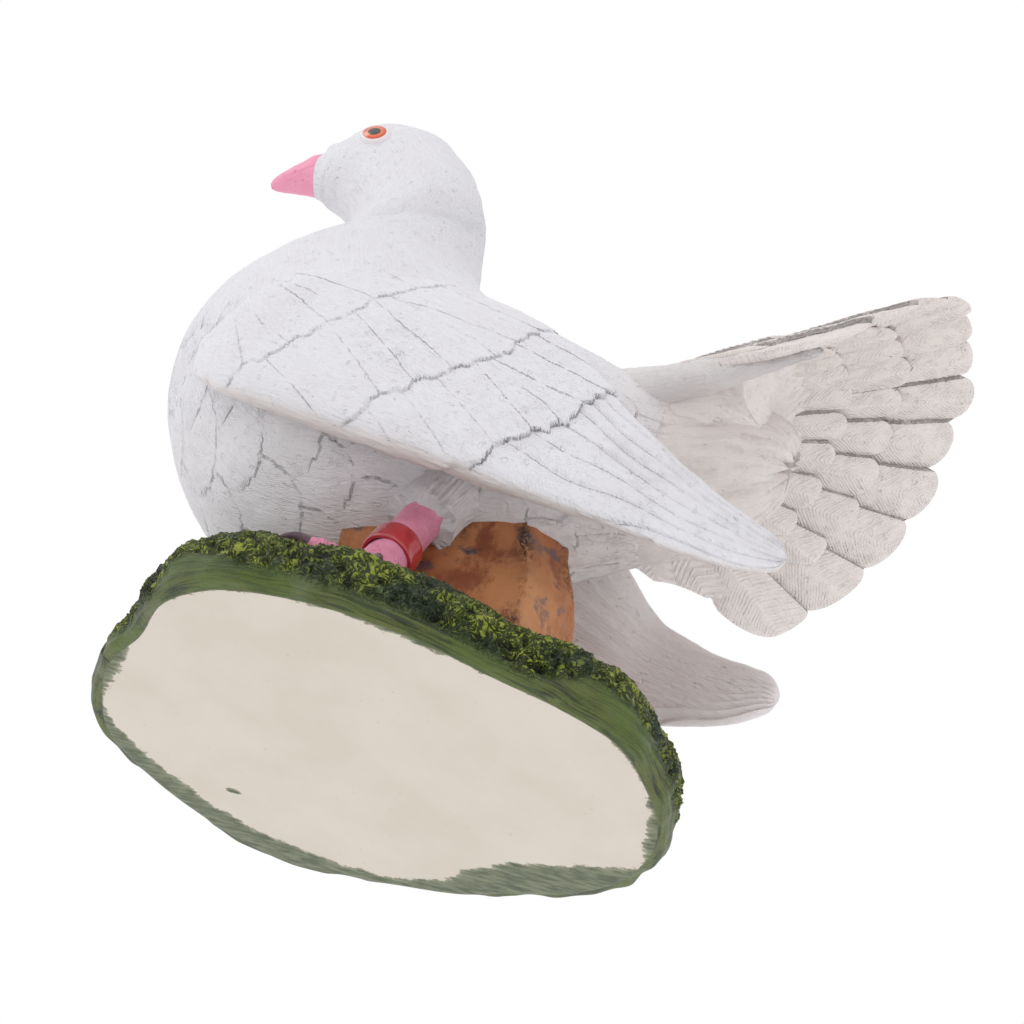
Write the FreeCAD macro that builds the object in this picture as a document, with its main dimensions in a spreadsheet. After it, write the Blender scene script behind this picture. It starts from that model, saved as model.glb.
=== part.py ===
import FreeCAD, Part
import math
import os

# Dove figurine: a painted cast-resin fantail pigeon standing on a mossy base.
# Frame: +X is the bird's left, -Y is the way it faces, +Z is up, and the origin is on the
# flat underside of the base. Every length is in millimetres.
#
# The sheet "Sizes" holds the driving dimensions. The profile tables below are written for a
# figure 271 mm tall and are multiplied by figure_height / 271, so one cell resizes the bird.

os.makedirs("parts", exist_ok=True)
DOC = FreeCAD.newDocument("DoveFigurine")

DRIVING_SIZES = (
    ("figure_height", 271.0),
    ("wall_thickness", 5.0),
    ("base_top", 27.0),
    ("base_edge_bevel", 4.0),
    ("base_flare", 5.0),
    ("eye_diameter", 11.0),
    ("fan_feathers", 12.0),
    ("fan_radius", 79.0),
    ("fan_left_spread", 3.0),
    ("fan_left_sweep", 14.0),
    ("fan_root_radius", 36.0),
    ("fan_root_crowding", 0.6),
    ("feather_width", 27.0),
    ("feather_thickness", 3.6),
    ("covert_feathers", 9.0),
    ("covert_length_share", 0.62),
    ("shank_radius", 7.2),
    ("ring_height", 9.5),
    ("ring_thickness", 1.4),
    ("toe_radius", 4.4),
    ("claw_length", 9.0),
    ("rod_radius", 1.5),
)

# Torso, neck and head as one run of oval sections that fan round the nape, from the rump to
# the face: back point (y, z), underside point (y, z) and half width.
BODY_STATIONS = (
    (62.0, 157.0, 62.0, 99.0, 28.5),
    (42.0, 163.0, 41.0, 89.0, 36.5),
    (21.0, 169.0, 16.0, 77.0, 46.0),
    (2.0, 176.0, -14.0, 66.0, 50.5),
    (-13.0, 183.0, -44.0, 60.0, 52.0),
    (-21.0, 191.0, -74.0, 65.5, 52.0),
    (-25.5, 199.0, -98.3, 87.5, 50.0),
    (-28.0, 207.0, -115.2, 116.5, 46.5),
    (-30.0, 217.0, -118.5, 146.5, 40.5),
    (-32.5, 228.0, -105.0, 171.0, 32.0),
    (-36.8, 239.5, -91.0, 193.0, 26.0),
    (-43.0, 250.0, -84.0, 209.0, 23.0),
    (-52.0, 260.5, -83.5, 219.0, 21.5),
    (-64.0, 268.5, -88.5, 224.0, 20.5),
    (-77.5, 270.8, -94.0, 228.0, 19.0),
    (-90.5, 267.0, -99.0, 230.5, 15.5),
    (-100.5, 259.3, -101.5, 232.0, 11.5),
    (-107.0, 251.3, -104.3, 233.3, 8.0),
)

# Rump feathers behind the hollow body, same layout as above.
UNDERTAIL_STATIONS = (
    (62.0, 157.0, 62.0, 99.0, 28.5),
    (76.0, 161.0, 76.0, 107.0, 26.0),
    (90.0, 162.0, 89.0, 116.0, 22.5),
    (103.0, 160.0, 100.0, 127.0, 15.5),
)

# Beak, from the face to the tip: middle (y, z), half depth, half width.
BEAK_STATIONS = (
    (-103.5, 243.8, 9.8, 8.6),
    (-110.5, 240.8, 8.0, 6.6),
    (-116.0, 238.0, 5.2, 4.2),
    (-120.6, 234.6, 1.6, 1.4),
)

# Left wing in upright cross-sections: y, upper edge (x, z), lower edge (x, z), half thickness,
# outward shift of the section's middle.
WING_STATIONS = (
    (-92.0, 37.0, 132.0, 43.0, 103.0, 4.0, 0.0),
    (-80.0, 36.0, 150.0, 50.0, 92.0, 10.0, 1.0),
    (-62.0, 33.0, 162.0, 54.0, 85.0, 13.0, 2.5),
    (-40.0, 29.0, 165.5, 57.5, 77.5, 14.5, 4.0),
    (-16.0, 26.0, 165.0, 59.5, 72.0, 15.0, 4.5),
    (8.0, 24.5, 160.5, 59.5, 68.5, 13.5, 4.3),
    (29.0, 30.5, 146.0, 58.0, 66.8, 10.8, 3.2),
    (49.0, 40.5, 123.0, 55.3, 66.4, 8.2, 2.0),
    (69.0, 48.0, 105.0, 52.0, 67.0, 6.2, 1.0),
    (88.0, 44.5, 93.5, 47.8, 67.8, 4.7, 0.4),
    (104.0, 39.6, 87.6, 43.2, 69.6, 3.6, 0.1),
    (115.0, 37.8, 82.5, 39.2, 72.6, 2.4, 0.0),
)

# Outline of the flat underside, anticlockwise from the front left.
BASE_OUTLINE = (
    (18.5, -82.0), (38.5, -67.5), (59.5, -55.5), (72.0, -38.0), (76.5, -14.0), (74.5, 8.0),
    (68.5, 28.0), (59.0, 48.0), (50.0, 68.0), (38.0, 84.0), (19.5, 91.5), (0.0, 95.0),
    (-22.5, 92.5), (-42.5, 82.5), (-58.5, 66.5), (-69.5, 44.0), (-79.5, 24.0), (-84.0, 2.0),
    (-86.5, -17.0), (-87.5, -38.5), (-78.5, -56.5), (-64.5, -71.5), (-46.0, -85.0),
    (-26.5, -92.5), (-5.0, -90.5),
)

# Rock in level slices: height and the corner points (x, y), same number on each slice.
ROCK_SLICES = (
    (22.0, ((30.0, -28.0), (36.0, 8.0), (33.0, 42.0), (8.0, 56.0), (-20.0, 54.0), (-36.0, 32.0),
            (-34.0, -8.0), (-8.0, -36.0))),
    (60.0, ((22.0, -28.0), (27.0, 8.0), (27.0, 37.5), (7.0, 51.0), (-16.0, 48.0), (-28.0, 30.0),
            (-24.0, -8.0), (-6.0, -31.0))),
    (92.0, ((17.0, -28.0), (21.0, 8.0), (20.0, 28.0), (5.0, 40.0), (-12.0, 38.0), (-19.0, 24.0),
            (-16.0, -6.0), (-4.0, -31.0))),
)

LEG_TOP = (20.0, 1.0, 94.0)
LEG_FOOT = (49.0, -3.5, 31.0)
RING_CENTRE_SHARE = 0.73
ROD_OVERRUN = 6.0

# Toes from the ball of the foot: heading from straight ahead toward the outside, length.
TOES = ((34.0, 22.0), (-14.0, 19.0), (112.0, 13.0), (196.0, 13.0))

# Swelling of small feathers over the rump from which the fan spreads.
FAN_PAD_CENTRE = (0.0, 59.0, 136.0)
FAN_PAD_RADII = (34.0, 22.0, 36.0)

EYE_CENTRE = (15.6, -82.0, 252.0)
THIGH_CENTRE = (26.0, -1.0, 88.0)
THIGH_RADII = (14.0, 17.0, 21.0)


def make_sheet():
    """The driving dimensions, one alias per row."""
    sheet = DOC.addObject("Spreadsheet::Sheet", "Sizes")
    for row, (alias, value) in enumerate(DRIVING_SIZES, start=1):
        sheet.set("A%d" % row, alias.replace("_", " "))
        sheet.set("B%d" % row, "%g" % value)
        sheet.setAlias("B%d" % row, alias)
    row = len(DRIVING_SIZES) + 1
    sheet.set("A%d" % row, "scale")
    sheet.set("B%d" % row, "=figure_height / 271")
    sheet.setAlias("B%d" % row, "scale")
    DOC.recompute()
    return sheet


SHEET = make_sheet()
SCALE = float(SHEET.get("scale"))


def size(alias):
    return float(SHEET.get(alias))


def vec(x, y, z):
    """A point of the profile tables at the figure's scale."""
    return FreeCAD.Vector(x, y, z) * SCALE


def axes_placement(base, x_axis, z_axis):
    """Placement whose local X and Z point along the given directions."""
    z = FreeCAD.Vector(z_axis).normalize()
    y = z.cross(FreeCAD.Vector(x_axis)).normalize()
    x = y.cross(z)
    matrix = FreeCAD.Matrix(x.x, y.x, z.x, base.x, x.y, y.y, z.y, base.y, x.z, y.z, z.z, base.z)
    return FreeCAD.Placement(matrix)


def oval(name, centre, long_axis, normal, long_half, short_half, shrink=None):
    """An ellipse whose half axes follow the sheet's scale, less the wall when it is inside."""
    ring = DOC.addObject("Part::Ellipse", name)
    less = " - Sizes.%s" % shrink if shrink else ""
    ring.setExpression("MajorRadius", "%.4f * Sizes.scale%s" % (long_half, less))
    ring.setExpression("MinorRadius", "%.4f * Sizes.scale%s" % (short_half, less))
    ring.Placement = axes_placement(centre, long_axis, normal)
    return ring


def loft(name, sections, ruled=False):
    """A solid skin over closed sections."""
    skin = DOC.addObject("Part::Loft", name)
    skin.Sections = sections
    skin.Solid = True
    skin.Ruled = ruled
    return skin


def fuse(name, shapes):
    union = DOC.addObject("Part::MultiFuse", name)
    union.Shapes = shapes
    return union


def cut(name, base, *tools):
    """base with each tool taken away in turn; the last cut carries the name."""
    result = base
    for i, tool in enumerate(tools, start=1):
        last = i == len(tools)
        step = DOC.addObject("Part::Cut", name if last else "%s_trim_%d" % (name, i))
        step.Base = result
        step.Tool = tool
        result = step
    return result


def mirror(name, source):
    """The same piece on the other side of the bird."""
    twin = DOC.addObject("Part::Mirroring", name)
    twin.Source = source
    twin.Normal = FreeCAD.Vector(1, 0, 0)
    return twin


def profile_loft(name, stations, shrink=None):
    """Oval sections stretched between a back point and an underside point."""
    rings = []
    for i, (back_y, back_z, under_y, under_z, half_width) in enumerate(stations):
        across = FreeCAD.Vector(0, back_y - under_y, back_z - under_z)
        half_depth = across.Length / 2
        centre = vec(0, (back_y + under_y) / 2, (back_z + under_z) / 2)
        normal = across.cross(FreeCAD.Vector(1, 0, 0))
        ring = oval("%s_section_%02d" % (name, i), centre, across, normal, half_depth, half_width, shrink)
        rings.append(ring)
    return loft(name, rings)


def smooth_outline(name, points, height, grow):
    """A closed spline sketch round the base at one height, grown outward."""
    sketch = DOC.addObject("Sketcher::SketchObject", name)
    ring = []
    for x, y in points:
        radius = math.hypot(x, y)
        share = (radius * SCALE + grow) / radius
        ring.append(FreeCAD.Vector(x * share, y * share, 0))
    curve = Part.BSplineCurve()
    curve.interpolate(Points=ring, PeriodicFlag=True)
    sketch.addGeometry(curve, False)
    sketch.Placement = FreeCAD.Placement(FreeCAD.Vector(0, 0, height), FreeCAD.Rotation())
    return sketch


def make_base():
    """Oval ground slab: bevelled under edge, leaning walls and a rolled, gently domed top."""
    top = size("base_top")
    bevel = size("base_edge_bevel")
    flare = size("base_flare")
    rings = [
        smooth_outline("base_underside", BASE_OUTLINE, 0.0, 0.0),
        smooth_outline("base_bevel", BASE_OUTLINE, bevel * 0.6, bevel),
        smooth_outline("base_wall", BASE_OUTLINE, top * 0.30, flare),
        smooth_outline("base_rim", BASE_OUTLINE, top * 0.57, flare * 0.6),
        smooth_outline("base_shoulder", BASE_OUTLINE, top * 0.82, -flare * 0.9),
        smooth_outline("base_crown", BASE_OUTLINE, top, -flare * 2.7),
    ]
    return loft("base_form", rings)


def polygon(name, height, corners):
    wire = DOC.addObject("Part::Polygon", name)
    wire.Nodes = [vec(x, y, height) for x, y in corners]
    wire.Close = True
    return wire


def make_rock():
    slices = [polygon("rock_slice_%d" % i, z, corners) for i, (z, corners) in enumerate(ROCK_SLICES)]
    return loft("rock_form", slices, ruled=True)


def make_beak():
    """Short curved beak, its first section flush with the face."""
    rings = []
    aim = FreeCAD.Vector(0, -15, -8)
    for i, (y, z, half_depth, half_width) in enumerate(BEAK_STATIONS):
        across = FreeCAD.Vector(1, 0, 0).cross(aim)
        ring = oval("beak_section_%d" % i, vec(0, y, z), across, aim, half_depth, half_width)
        rings.append(ring)
    return loft("beak_form", rings)


def make_wing():
    """Folded left wing, plump at the shoulder and thin at the flight feathers."""
    rings = []
    for i, (y, top_x, top_z, low_x, low_z, half_thick, shift) in enumerate(WING_STATIONS):
        across = FreeCAD.Vector(top_x - low_x, 0, top_z - low_z)
        outward = FreeCAD.Vector(-across.z, 0, across.x).normalize() * -1
        middle = vec((top_x + low_x) / 2, y, (top_z + low_z) / 2) + outward * shift
        normal = FreeCAD.Vector(0, 1, 0)
        ring = oval("wing_section_%02d" % i, middle, across, normal, across.Length / 2, half_thick)
        rings.append(ring)
    return loft("wing_form", rings)


def fan_rim(angle, inward):
    """A point on the rim, at an angle from the top of the fan. The left side is swept farther
    back than the right."""
    lean = math.radians(angle)
    side = (angle / 90.0) ** 2
    extra = side if angle > 0 else 0.0
    radius = size("fan_radius") + size("fan_left_spread") * extra - inward
    fullness = side * (1 - side) * (14.0 if angle > 0 else 23.0)
    back = (155.0 - 57.0 * side + fullness) * SCALE + size("fan_left_sweep") * extra
    return FreeCAD.Vector(radius * math.sin(lean), back, 125.0 * SCALE + radius * math.cos(lean))


def fan_root(angle, inward):
    """Where that feather leaves the rump: the roots crowd together over its top."""
    lean = math.radians(angle * size("fan_root_crowding"))
    radius = size("fan_root_radius") - inward
    return FreeCAD.Vector(radius * math.sin(lean), 57.0 * SCALE, 127.0 * SCALE + radius * math.cos(lean))


def make_feather(name, angle, inward, share, turn):
    """One flat feather: a blade that widens from the root and a round tip."""
    root = fan_root(angle, inward)
    run = (fan_rim(angle, inward) - root) * share
    tip_radius = size("feather_width") / 2 * (0.55 + 0.45 * share)
    thickness = size("feather_thickness")
    spread = fan_rim(angle + 1, inward) - fan_rim(angle - 1, inward)
    face = spread.cross(run)
    blade = DOC.addObject("Part::Wedge", name + "_blade")
    blade.Ymin = 0
    blade.Ymax = run.Length - tip_radius
    blade.Zmin = -thickness / 2
    blade.Zmax = thickness / 2
    blade.Z2min = -thickness / 2
    blade.Z2max = thickness / 2
    blade.Xmin = -tip_radius * 0.42
    blade.Xmax = tip_radius * 0.42
    blade.X2min = -tip_radius
    blade.X2max = tip_radius
    lie = axes_placement(root, run.cross(face), face)
    lie.Rotation = lie.Rotation.multiply(FreeCAD.Rotation(FreeCAD.Vector(0, 1, 0), turn))
    blade.Placement = lie
    tip = DOC.addObject("Part::Cylinder", name + "_tip")
    tip.Radius = tip_radius
    tip.Height = thickness
    middle = lie.multVec(FreeCAD.Vector(0, run.Length - tip_radius, -thickness / 2))
    tip.Placement = FreeCAD.Placement(middle, lie.Rotation)
    return [blade, tip]


def make_fan():
    """Twelve long feathers in a half cone, with a row of shorter coverts laid inside it."""
    pieces = []
    count = int(size("fan_feathers"))
    for i in range(count):
        angle = -88.0 + 170.0 * i / (count - 1)
        turn = 5.0 if angle > 0 else -5.0
        pieces += make_feather("fan_feather_%02d" % i, angle, 0.0, 1.0, turn)
    coverts = int(size("covert_feathers"))
    for i in range(coverts):
        angle = -70.0 + 140.0 * i / (coverts - 1)
        turn = 4.0 if angle > 0 else -4.0
        pieces += make_feather("covert_%02d" % i, angle, size("feather_thickness") * 0.8,
                               size("covert_length_share"), turn)
    pad = DOC.addObject("Part::Ellipsoid", "fan_root_pad")
    pad.Radius2, pad.Radius3, pad.Radius1 = [r * SCALE for r in FAN_PAD_RADII]
    pad.Angle1 = -90
    pad.Placement = FreeCAD.Placement(vec(*FAN_PAD_CENTRE), FreeCAD.Rotation())
    return fuse("fan_form", pieces + [pad])


def make_eye(name, side):
    ball = DOC.addObject("Part::Sphere", name)
    ball.setExpression("Radius", "Sizes.eye_diameter / 2")
    x, y, z = EYE_CENTRE
    ball.Placement = FreeCAD.Placement(vec(side * x, y, z), FreeCAD.Rotation())
    return ball


def make_thigh():
    ball = DOC.addObject("Part::Ellipsoid", "thigh_form")
    ball.Radius2, ball.Radius3, ball.Radius1 = [r * SCALE for r in THIGH_RADII]
    ball.Angle1 = -90
    ball.Placement = FreeCAD.Placement(vec(*THIGH_CENTRE), FreeCAD.Rotation())
    return ball


def leg_axis(share):
    """A point on the leg, 0 at the top and 1 at the foot, and the leg's direction."""
    top = vec(*LEG_TOP)
    foot = vec(*LEG_FOOT)
    return top + (foot - top) * share, foot - top


def leg_tube(name, start_share, length, radius_rule):
    """A round bar along the leg."""
    bar = DOC.addObject("Part::Cylinder", name)
    bar.setExpression("Radius", radius_rule)
    bar.Height = length
    start, direction = leg_axis(start_share)
    bar.Placement = FreeCAD.Placement(start, FreeCAD.Rotation(FreeCAD.Vector(0, 0, 1), direction))
    return bar


def make_foot():
    """Ball of the foot, four toes and their claws, trimmed flat where they meet the ground."""
    radius = size("toe_radius")
    ball_at = vec(*LEG_FOOT)
    ball_at.z = size("base_top") + radius * 0.8
    ball = DOC.addObject("Part::Sphere", "foot_ball")
    ball.Radius = radius * 1.7
    ball.Placement = FreeCAD.Placement(ball_at, FreeCAD.Rotation())
    pieces = [ball]
    for i, (heading, length) in enumerate(TOES):
        turn = math.radians(heading)
        ahead = FreeCAD.Vector(math.sin(turn), -math.cos(turn), 0)
        toe = DOC.addObject("Part::Cone", "toe_%d" % i)
        toe.Radius1 = radius
        toe.Radius2 = radius * 0.8
        toe.Height = length * SCALE
        toe.Placement = FreeCAD.Placement(ball_at, FreeCAD.Rotation(FreeCAD.Vector(0, 0, 1), ahead))
        knuckle_at = ball_at + ahead * length * SCALE
        knuckle = DOC.addObject("Part::Sphere", "toe_end_%d" % i)
        knuckle.Radius = radius * 0.8
        knuckle.Placement = FreeCAD.Placement(knuckle_at, FreeCAD.Rotation())
        claw = DOC.addObject("Part::Cone", "claw_%d" % i)
        claw.Radius1 = radius * 0.6
        claw.Radius2 = 0.4
        claw.Height = size("claw_length")
        down = ahead - FreeCAD.Vector(0, 0, 0.25)
        claw.Placement = FreeCAD.Placement(knuckle_at, FreeCAD.Rotation(FreeCAD.Vector(0, 0, 1), down))
        pieces += [toe, knuckle, claw]
    ground = DOC.addObject("Part::Box", "ground_trim")
    ground.Length = 120
    ground.Width = 120
    ground.Height = 20
    ground.Placement = FreeCAD.Placement(ball_at + FreeCAD.Vector(-60, -60, size("base_top") - ball_at.z - 20.0),
                                         FreeCAD.Rotation())
    return cut("foot_form", fuse("foot_toes", pieces), ground)


def make_ring(shank_radius):
    """Identity band: a short tube turned round the left shank."""
    start, direction = leg_axis(RING_CENTRE_SHARE)
    body = DOC.addObject("PartDesign::Body", "leg_ring_body")
    plane = next(f for f in body.Origin.OriginFeatures if f.Role == "XZ_Plane")
    sketch = DOC.addObject("Sketcher::SketchObject", "ring_section")
    body.addObject(sketch)
    sketch.AttachmentSupport = [(plane, "")]
    sketch.MapMode = "FlatFace"
    half = size("ring_height") / 2
    outer = shank_radius + size("ring_thickness")
    corners = ((shank_radius, -half), (outer, -half), (outer, half), (shank_radius, half))
    points = [FreeCAD.Vector(x, y, 0) for x, y in corners]
    for a, b in zip(points, points[1:] + points[:1]):
        sketch.addGeometry(Part.LineSegment(a, b), False)
    revolve = DOC.addObject("PartDesign::Revolution", "ring_turn")
    body.addObject(revolve)
    revolve.Profile = sketch
    revolve.ReferenceAxis = (sketch, ["V_Axis"])
    revolve.Angle = 360
    soften = DOC.addObject("PartDesign::Fillet", "ring_edges")
    body.addObject(soften)
    DOC.recompute()
    rim = [i + 1 for i, edge in enumerate(revolve.Shape.Edges)
           if edge.Curve.TypeId == "Part::GeomCircle" and edge.Curve.Radius > outer - 0.01]
    soften.Base = (revolve, ["Edge%d" % i for i in rim])
    soften.Radius = 0.5
    body.Placement = FreeCAD.Placement(start, FreeCAD.Rotation(FreeCAD.Vector(0, 0, 1), direction))
    return body


def build():
    """Every form first, then the cuts that let neighbouring pieces meet without overlapping."""
    nodes = {}
    torso = profile_loft("torso_form", BODY_STATIONS)
    inner = list(BODY_STATIONS[:-6])
    inner.insert(0, (68.0, 155.0, 68.0, 101.0, 26.5))
    cavity = profile_loft("torso_cavity", inner, "wall_thickness")
    undertail = profile_loft("undertail_form", UNDERTAIL_STATIONS)
    wing = make_wing()
    fan = make_fan()
    thigh = make_thigh()
    foot = make_foot()
    shank_radius = size("shank_radius")
    reach = leg_axis(0)[1].Length
    shank = leg_tube("shank_form", 0.0, reach, "Sizes.shank_radius")
    rod = leg_tube("left_leg_rod", -ROD_OVERRUN / reach, reach + ROD_OVERRUN * 2.6, "Sizes.rod_radius")
    right_rod = mirror("right_leg_rod", rod)
    left_eye = make_eye("left_eye", 1)
    right_eye = make_eye("right_eye", -1)
    beak = make_beak()

    nodes["base"] = cut("base", make_base(), rod, right_rod)
    nodes["rock"] = cut("rock", make_rock(), torso, nodes["base"])
    nodes["body"] = cut("body", torso, cavity, left_eye, right_eye, rod, right_rod)
    nodes["undertail"] = undertail
    nodes["tail_fan"] = cut("tail_fan", fan, torso, undertail)
    nodes["left_wing"] = cut("left_wing", wing, torso)
    nodes["right_wing"] = mirror("right_wing", nodes["left_wing"])
    nodes["beak"] = cut("beak", beak, torso)
    nodes["left_eye"] = left_eye
    nodes["right_eye"] = right_eye
    nodes["left_thigh"] = cut("left_thigh", thigh, torso, wing, rod, nodes["rock"])
    nodes["right_thigh"] = mirror("right_thigh", nodes["left_thigh"])
    nodes["left_foot"] = cut("left_foot", foot, rod, nodes["base"])
    nodes["right_foot"] = mirror("right_foot", nodes["left_foot"])
    nodes["left_leg"] = cut("left_leg", shank, thigh, foot, rod, torso, nodes["rock"])
    nodes["right_leg"] = mirror("right_leg", nodes["left_leg"])
    nodes["leg_ring"] = make_ring(shank_radius)
    nodes["left_leg_rod"] = rod
    nodes["right_leg_rod"] = right_rod
    DOC.recompute()
    return nodes


def check_document():
    for item in DOC.Objects:
        if "Invalid" in item.State or "Error" in item.State:
            raise RuntimeError("%s did not rebuild: %s" % (item.Name, item.State))


def export(nodes):
    for name, item in nodes.items():
        item.Label = name
        shape = item.Shape
        if shape.isNull() or not shape.isValid():
            raise RuntimeError("%s is not a valid solid" % name)
        box = shape.BoundBox
        print("%-16s solids %d volume %9.0f  x %7.1f %7.1f  y %7.1f %7.1f  z %7.1f %7.1f" % (
            name, len(shape.Solids), shape.Volume, box.XMin, box.XMax, box.YMin, box.YMax,
            box.ZMin, box.ZMax))
        shape.exportStep("parts/%s.step" % name)


NODES = build()
check_document()
export(NODES)
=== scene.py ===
import math

import bpy
import numpy as np
from mathutils import Matrix, Vector


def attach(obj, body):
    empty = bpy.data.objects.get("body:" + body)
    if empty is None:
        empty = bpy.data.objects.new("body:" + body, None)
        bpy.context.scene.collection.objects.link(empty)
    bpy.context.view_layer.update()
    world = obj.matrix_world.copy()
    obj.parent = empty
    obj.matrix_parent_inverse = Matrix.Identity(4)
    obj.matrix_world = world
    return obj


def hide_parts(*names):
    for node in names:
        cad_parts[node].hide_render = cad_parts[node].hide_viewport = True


# Painted cast-resin fantail pigeon on a mossy base. The tables are in millimetres, in the CAD's
# frame: +X is the bird's left, -Y is the way it faces, +Z is up. Meshes are made in metres.
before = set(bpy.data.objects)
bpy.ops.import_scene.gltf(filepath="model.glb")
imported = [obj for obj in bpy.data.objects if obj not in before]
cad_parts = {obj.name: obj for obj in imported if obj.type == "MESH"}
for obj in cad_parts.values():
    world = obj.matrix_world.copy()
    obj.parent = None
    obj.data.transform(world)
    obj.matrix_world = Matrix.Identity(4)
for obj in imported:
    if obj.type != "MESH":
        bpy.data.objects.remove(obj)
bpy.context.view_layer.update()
MM = 0.001
TURN = 2 * math.pi


# ---------------------------------------------------------------- numbers

def hashed(ix, iy, iz, seed):
    """A fixed random number from 0 to 1 for each whole-number cell."""
    h = (ix * 73856093) ^ (iy * 19349663) ^ (iz * 83492791) ^ (seed * 974711)
    h = h & 0xFFFFFFFF
    h = ((h ^ (h >> 13)) * 1274126177) & 0xFFFFFFFF
    h = h ^ (h >> 16)
    return h / 4294967295.0


def noise(points, seed=0):
    """Smooth noise from -1 to 1 at points (..., 3)."""
    cell = np.floor(points).astype(np.int64)
    part = points - cell
    part = part * part * (3 - 2 * part)
    total = 0.0
    for dx in (0, 1):
        for dy in (0, 1):
            for dz in (0, 1):
                corner = np.array([dx, dy, dz])
                weight = np.prod(np.where(corner, part, 1 - part), axis=-1)
                total = total + weight * hashed(*np.moveaxis(cell + corner, -1, 0), seed)
    return total * 2 - 1


def fractal(points, size, octaves=3, seed=0):
    """Layered noise whose largest lumps are about size across."""
    total, strength, scale = 0.0, 1.0, 1.0 / size
    for octave in range(octaves):
        total = total + strength * noise(points * scale + 17.3 * octave, seed + octave)
        strength *= 0.5
        scale *= 2.03
    return total


def ease(low, high, x):
    """0 below low, 1 above high, smooth between."""
    t = np.clip((x - low) / (high - low), 0, 1)
    return t * t * (3 - 2 * t)


def hermite(known, rows, where):
    """Smooth curve through table rows."""
    slope = np.gradient(rows, known, axis=0)
    i = np.clip(np.searchsorted(known, where) - 1, 0, len(known) - 2)
    span = (known[i + 1] - known[i])[:, None]
    x = (where - known[i])[:, None] / span
    return ((1 + 2 * x) * (1 - x) ** 2 * rows[i] + x * (1 - x) ** 2 * span * slope[i]
            + x * x * (3 - 2 * x) * rows[i + 1] + x * x * (x - 1) * span * slope[i + 1])


def resample(table, count):
    """The table's rows as a smooth curve of count rows spaced evenly along it."""
    rows = np.asarray(table, float)
    known = np.concatenate([[0], np.cumsum(np.linalg.norm(np.diff(rows, axis=0), axis=1))])
    fine = hermite(known, rows, np.linspace(0, known[-1], 1500))
    run = np.concatenate([[0], np.cumsum(np.linalg.norm(np.diff(fine, axis=0), axis=1))])
    even = np.linspace(0, run[-1], count)
    return np.stack([np.interp(even, run, fine[:, k]) for k in range(rows.shape[1])], axis=1)


# ---------------------------------------------------------------- meshes

def grid_faces(rows, cols, wrap, flip=False, offset=0):
    i, j = np.meshgrid(np.arange(rows - 1), np.arange(cols if wrap else cols - 1), indexing="ij")
    k = (j + 1) % cols
    quads = np.stack([i * cols + j, i * cols + k, (i + 1) * cols + k, (i + 1) * cols + j], -1)
    quads = quads.reshape(-1, 4) + offset
    return quads[:, ::-1] if flip else quads


def grid_normals(points, wrap):
    """Unit normals of a surface grid (rows, columns, 3)."""
    down = np.gradient(points, axis=0)
    if wrap:
        over = np.roll(points, -1, 1) - np.roll(points, 1, 1)
    else:
        over = np.gradient(points, axis=1)
    normals = np.cross(over, down)
    return normals / (np.linalg.norm(normals, axis=-1, keepdims=True) + 1e-9)


def run_length(points, axis=0):
    """Distance walked along each line of a grid."""
    step = np.linalg.norm(np.diff(points, axis=axis), axis=-1)
    start = np.zeros_like(step[:1]) if axis == 0 else np.zeros_like(step[:, :1])
    return np.concatenate([start, np.cumsum(step, axis=axis)], axis=axis)


def make_piece(name, verts, faces, material, node, marks=None):
    """A smooth mesh in metres that stands for a CAD node; marks are vectors kept on its points."""
    mesh = bpy.data.meshes.new(name)
    mesh.from_pydata((verts.reshape(-1, 3) * MM).tolist(), [], [list(map(int, f)) for f in faces])
    mesh.polygons.foreach_set("use_smooth", np.ones(len(mesh.polygons), bool))
    for key, values in (marks or {}).items():
        layer = mesh.attributes.new(key, "FLOAT_VECTOR", "POINT")
        layer.data.foreach_set("vector", np.asarray(values, np.float32).reshape(-1))
    mesh.materials.append(material)
    mesh.update()
    piece = bpy.data.objects.new(name, mesh)
    bpy.context.scene.collection.objects.link(piece)
    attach(piece, "root")
    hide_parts(node)
    return piece


def with_poles(values):
    """The rows of a closed-ring grid, then the middles of its first and last ring."""
    flat = values.reshape(-1, values.shape[-1])
    return np.concatenate([flat, values[0].mean(0)[None], values[-1].mean(0)[None]])


def make_tube(name, points, material, node, marks=None, side=1, flip=False):
    """A closed-ring grid with a fan over both ends; side -1 mirrors it to the bird's right."""
    rows, cols = points.shape[:2]
    faces = [list(f) for f in grid_faces(rows, cols, True)]
    head, tail, last = rows * cols, rows * cols + 1, (rows - 1) * cols
    for j in range(cols):
        k = (j + 1) % cols
        faces.append([k, j, head])
        faces.append([last + j, last + k, tail])
    if flip:
        faces = [face[::-1] for face in faces]
    marks = {key: with_poles(value) for key, value in (marks or {}).items()}
    make_piece(name, with_poles(points * np.array([side, 1, 1])), faces, material, node, marks)


def stack(*fields):
    return np.stack(np.broadcast_arrays(*fields), -1).astype(float)


# ---------------------------------------------------------------- shader wiring

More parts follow.
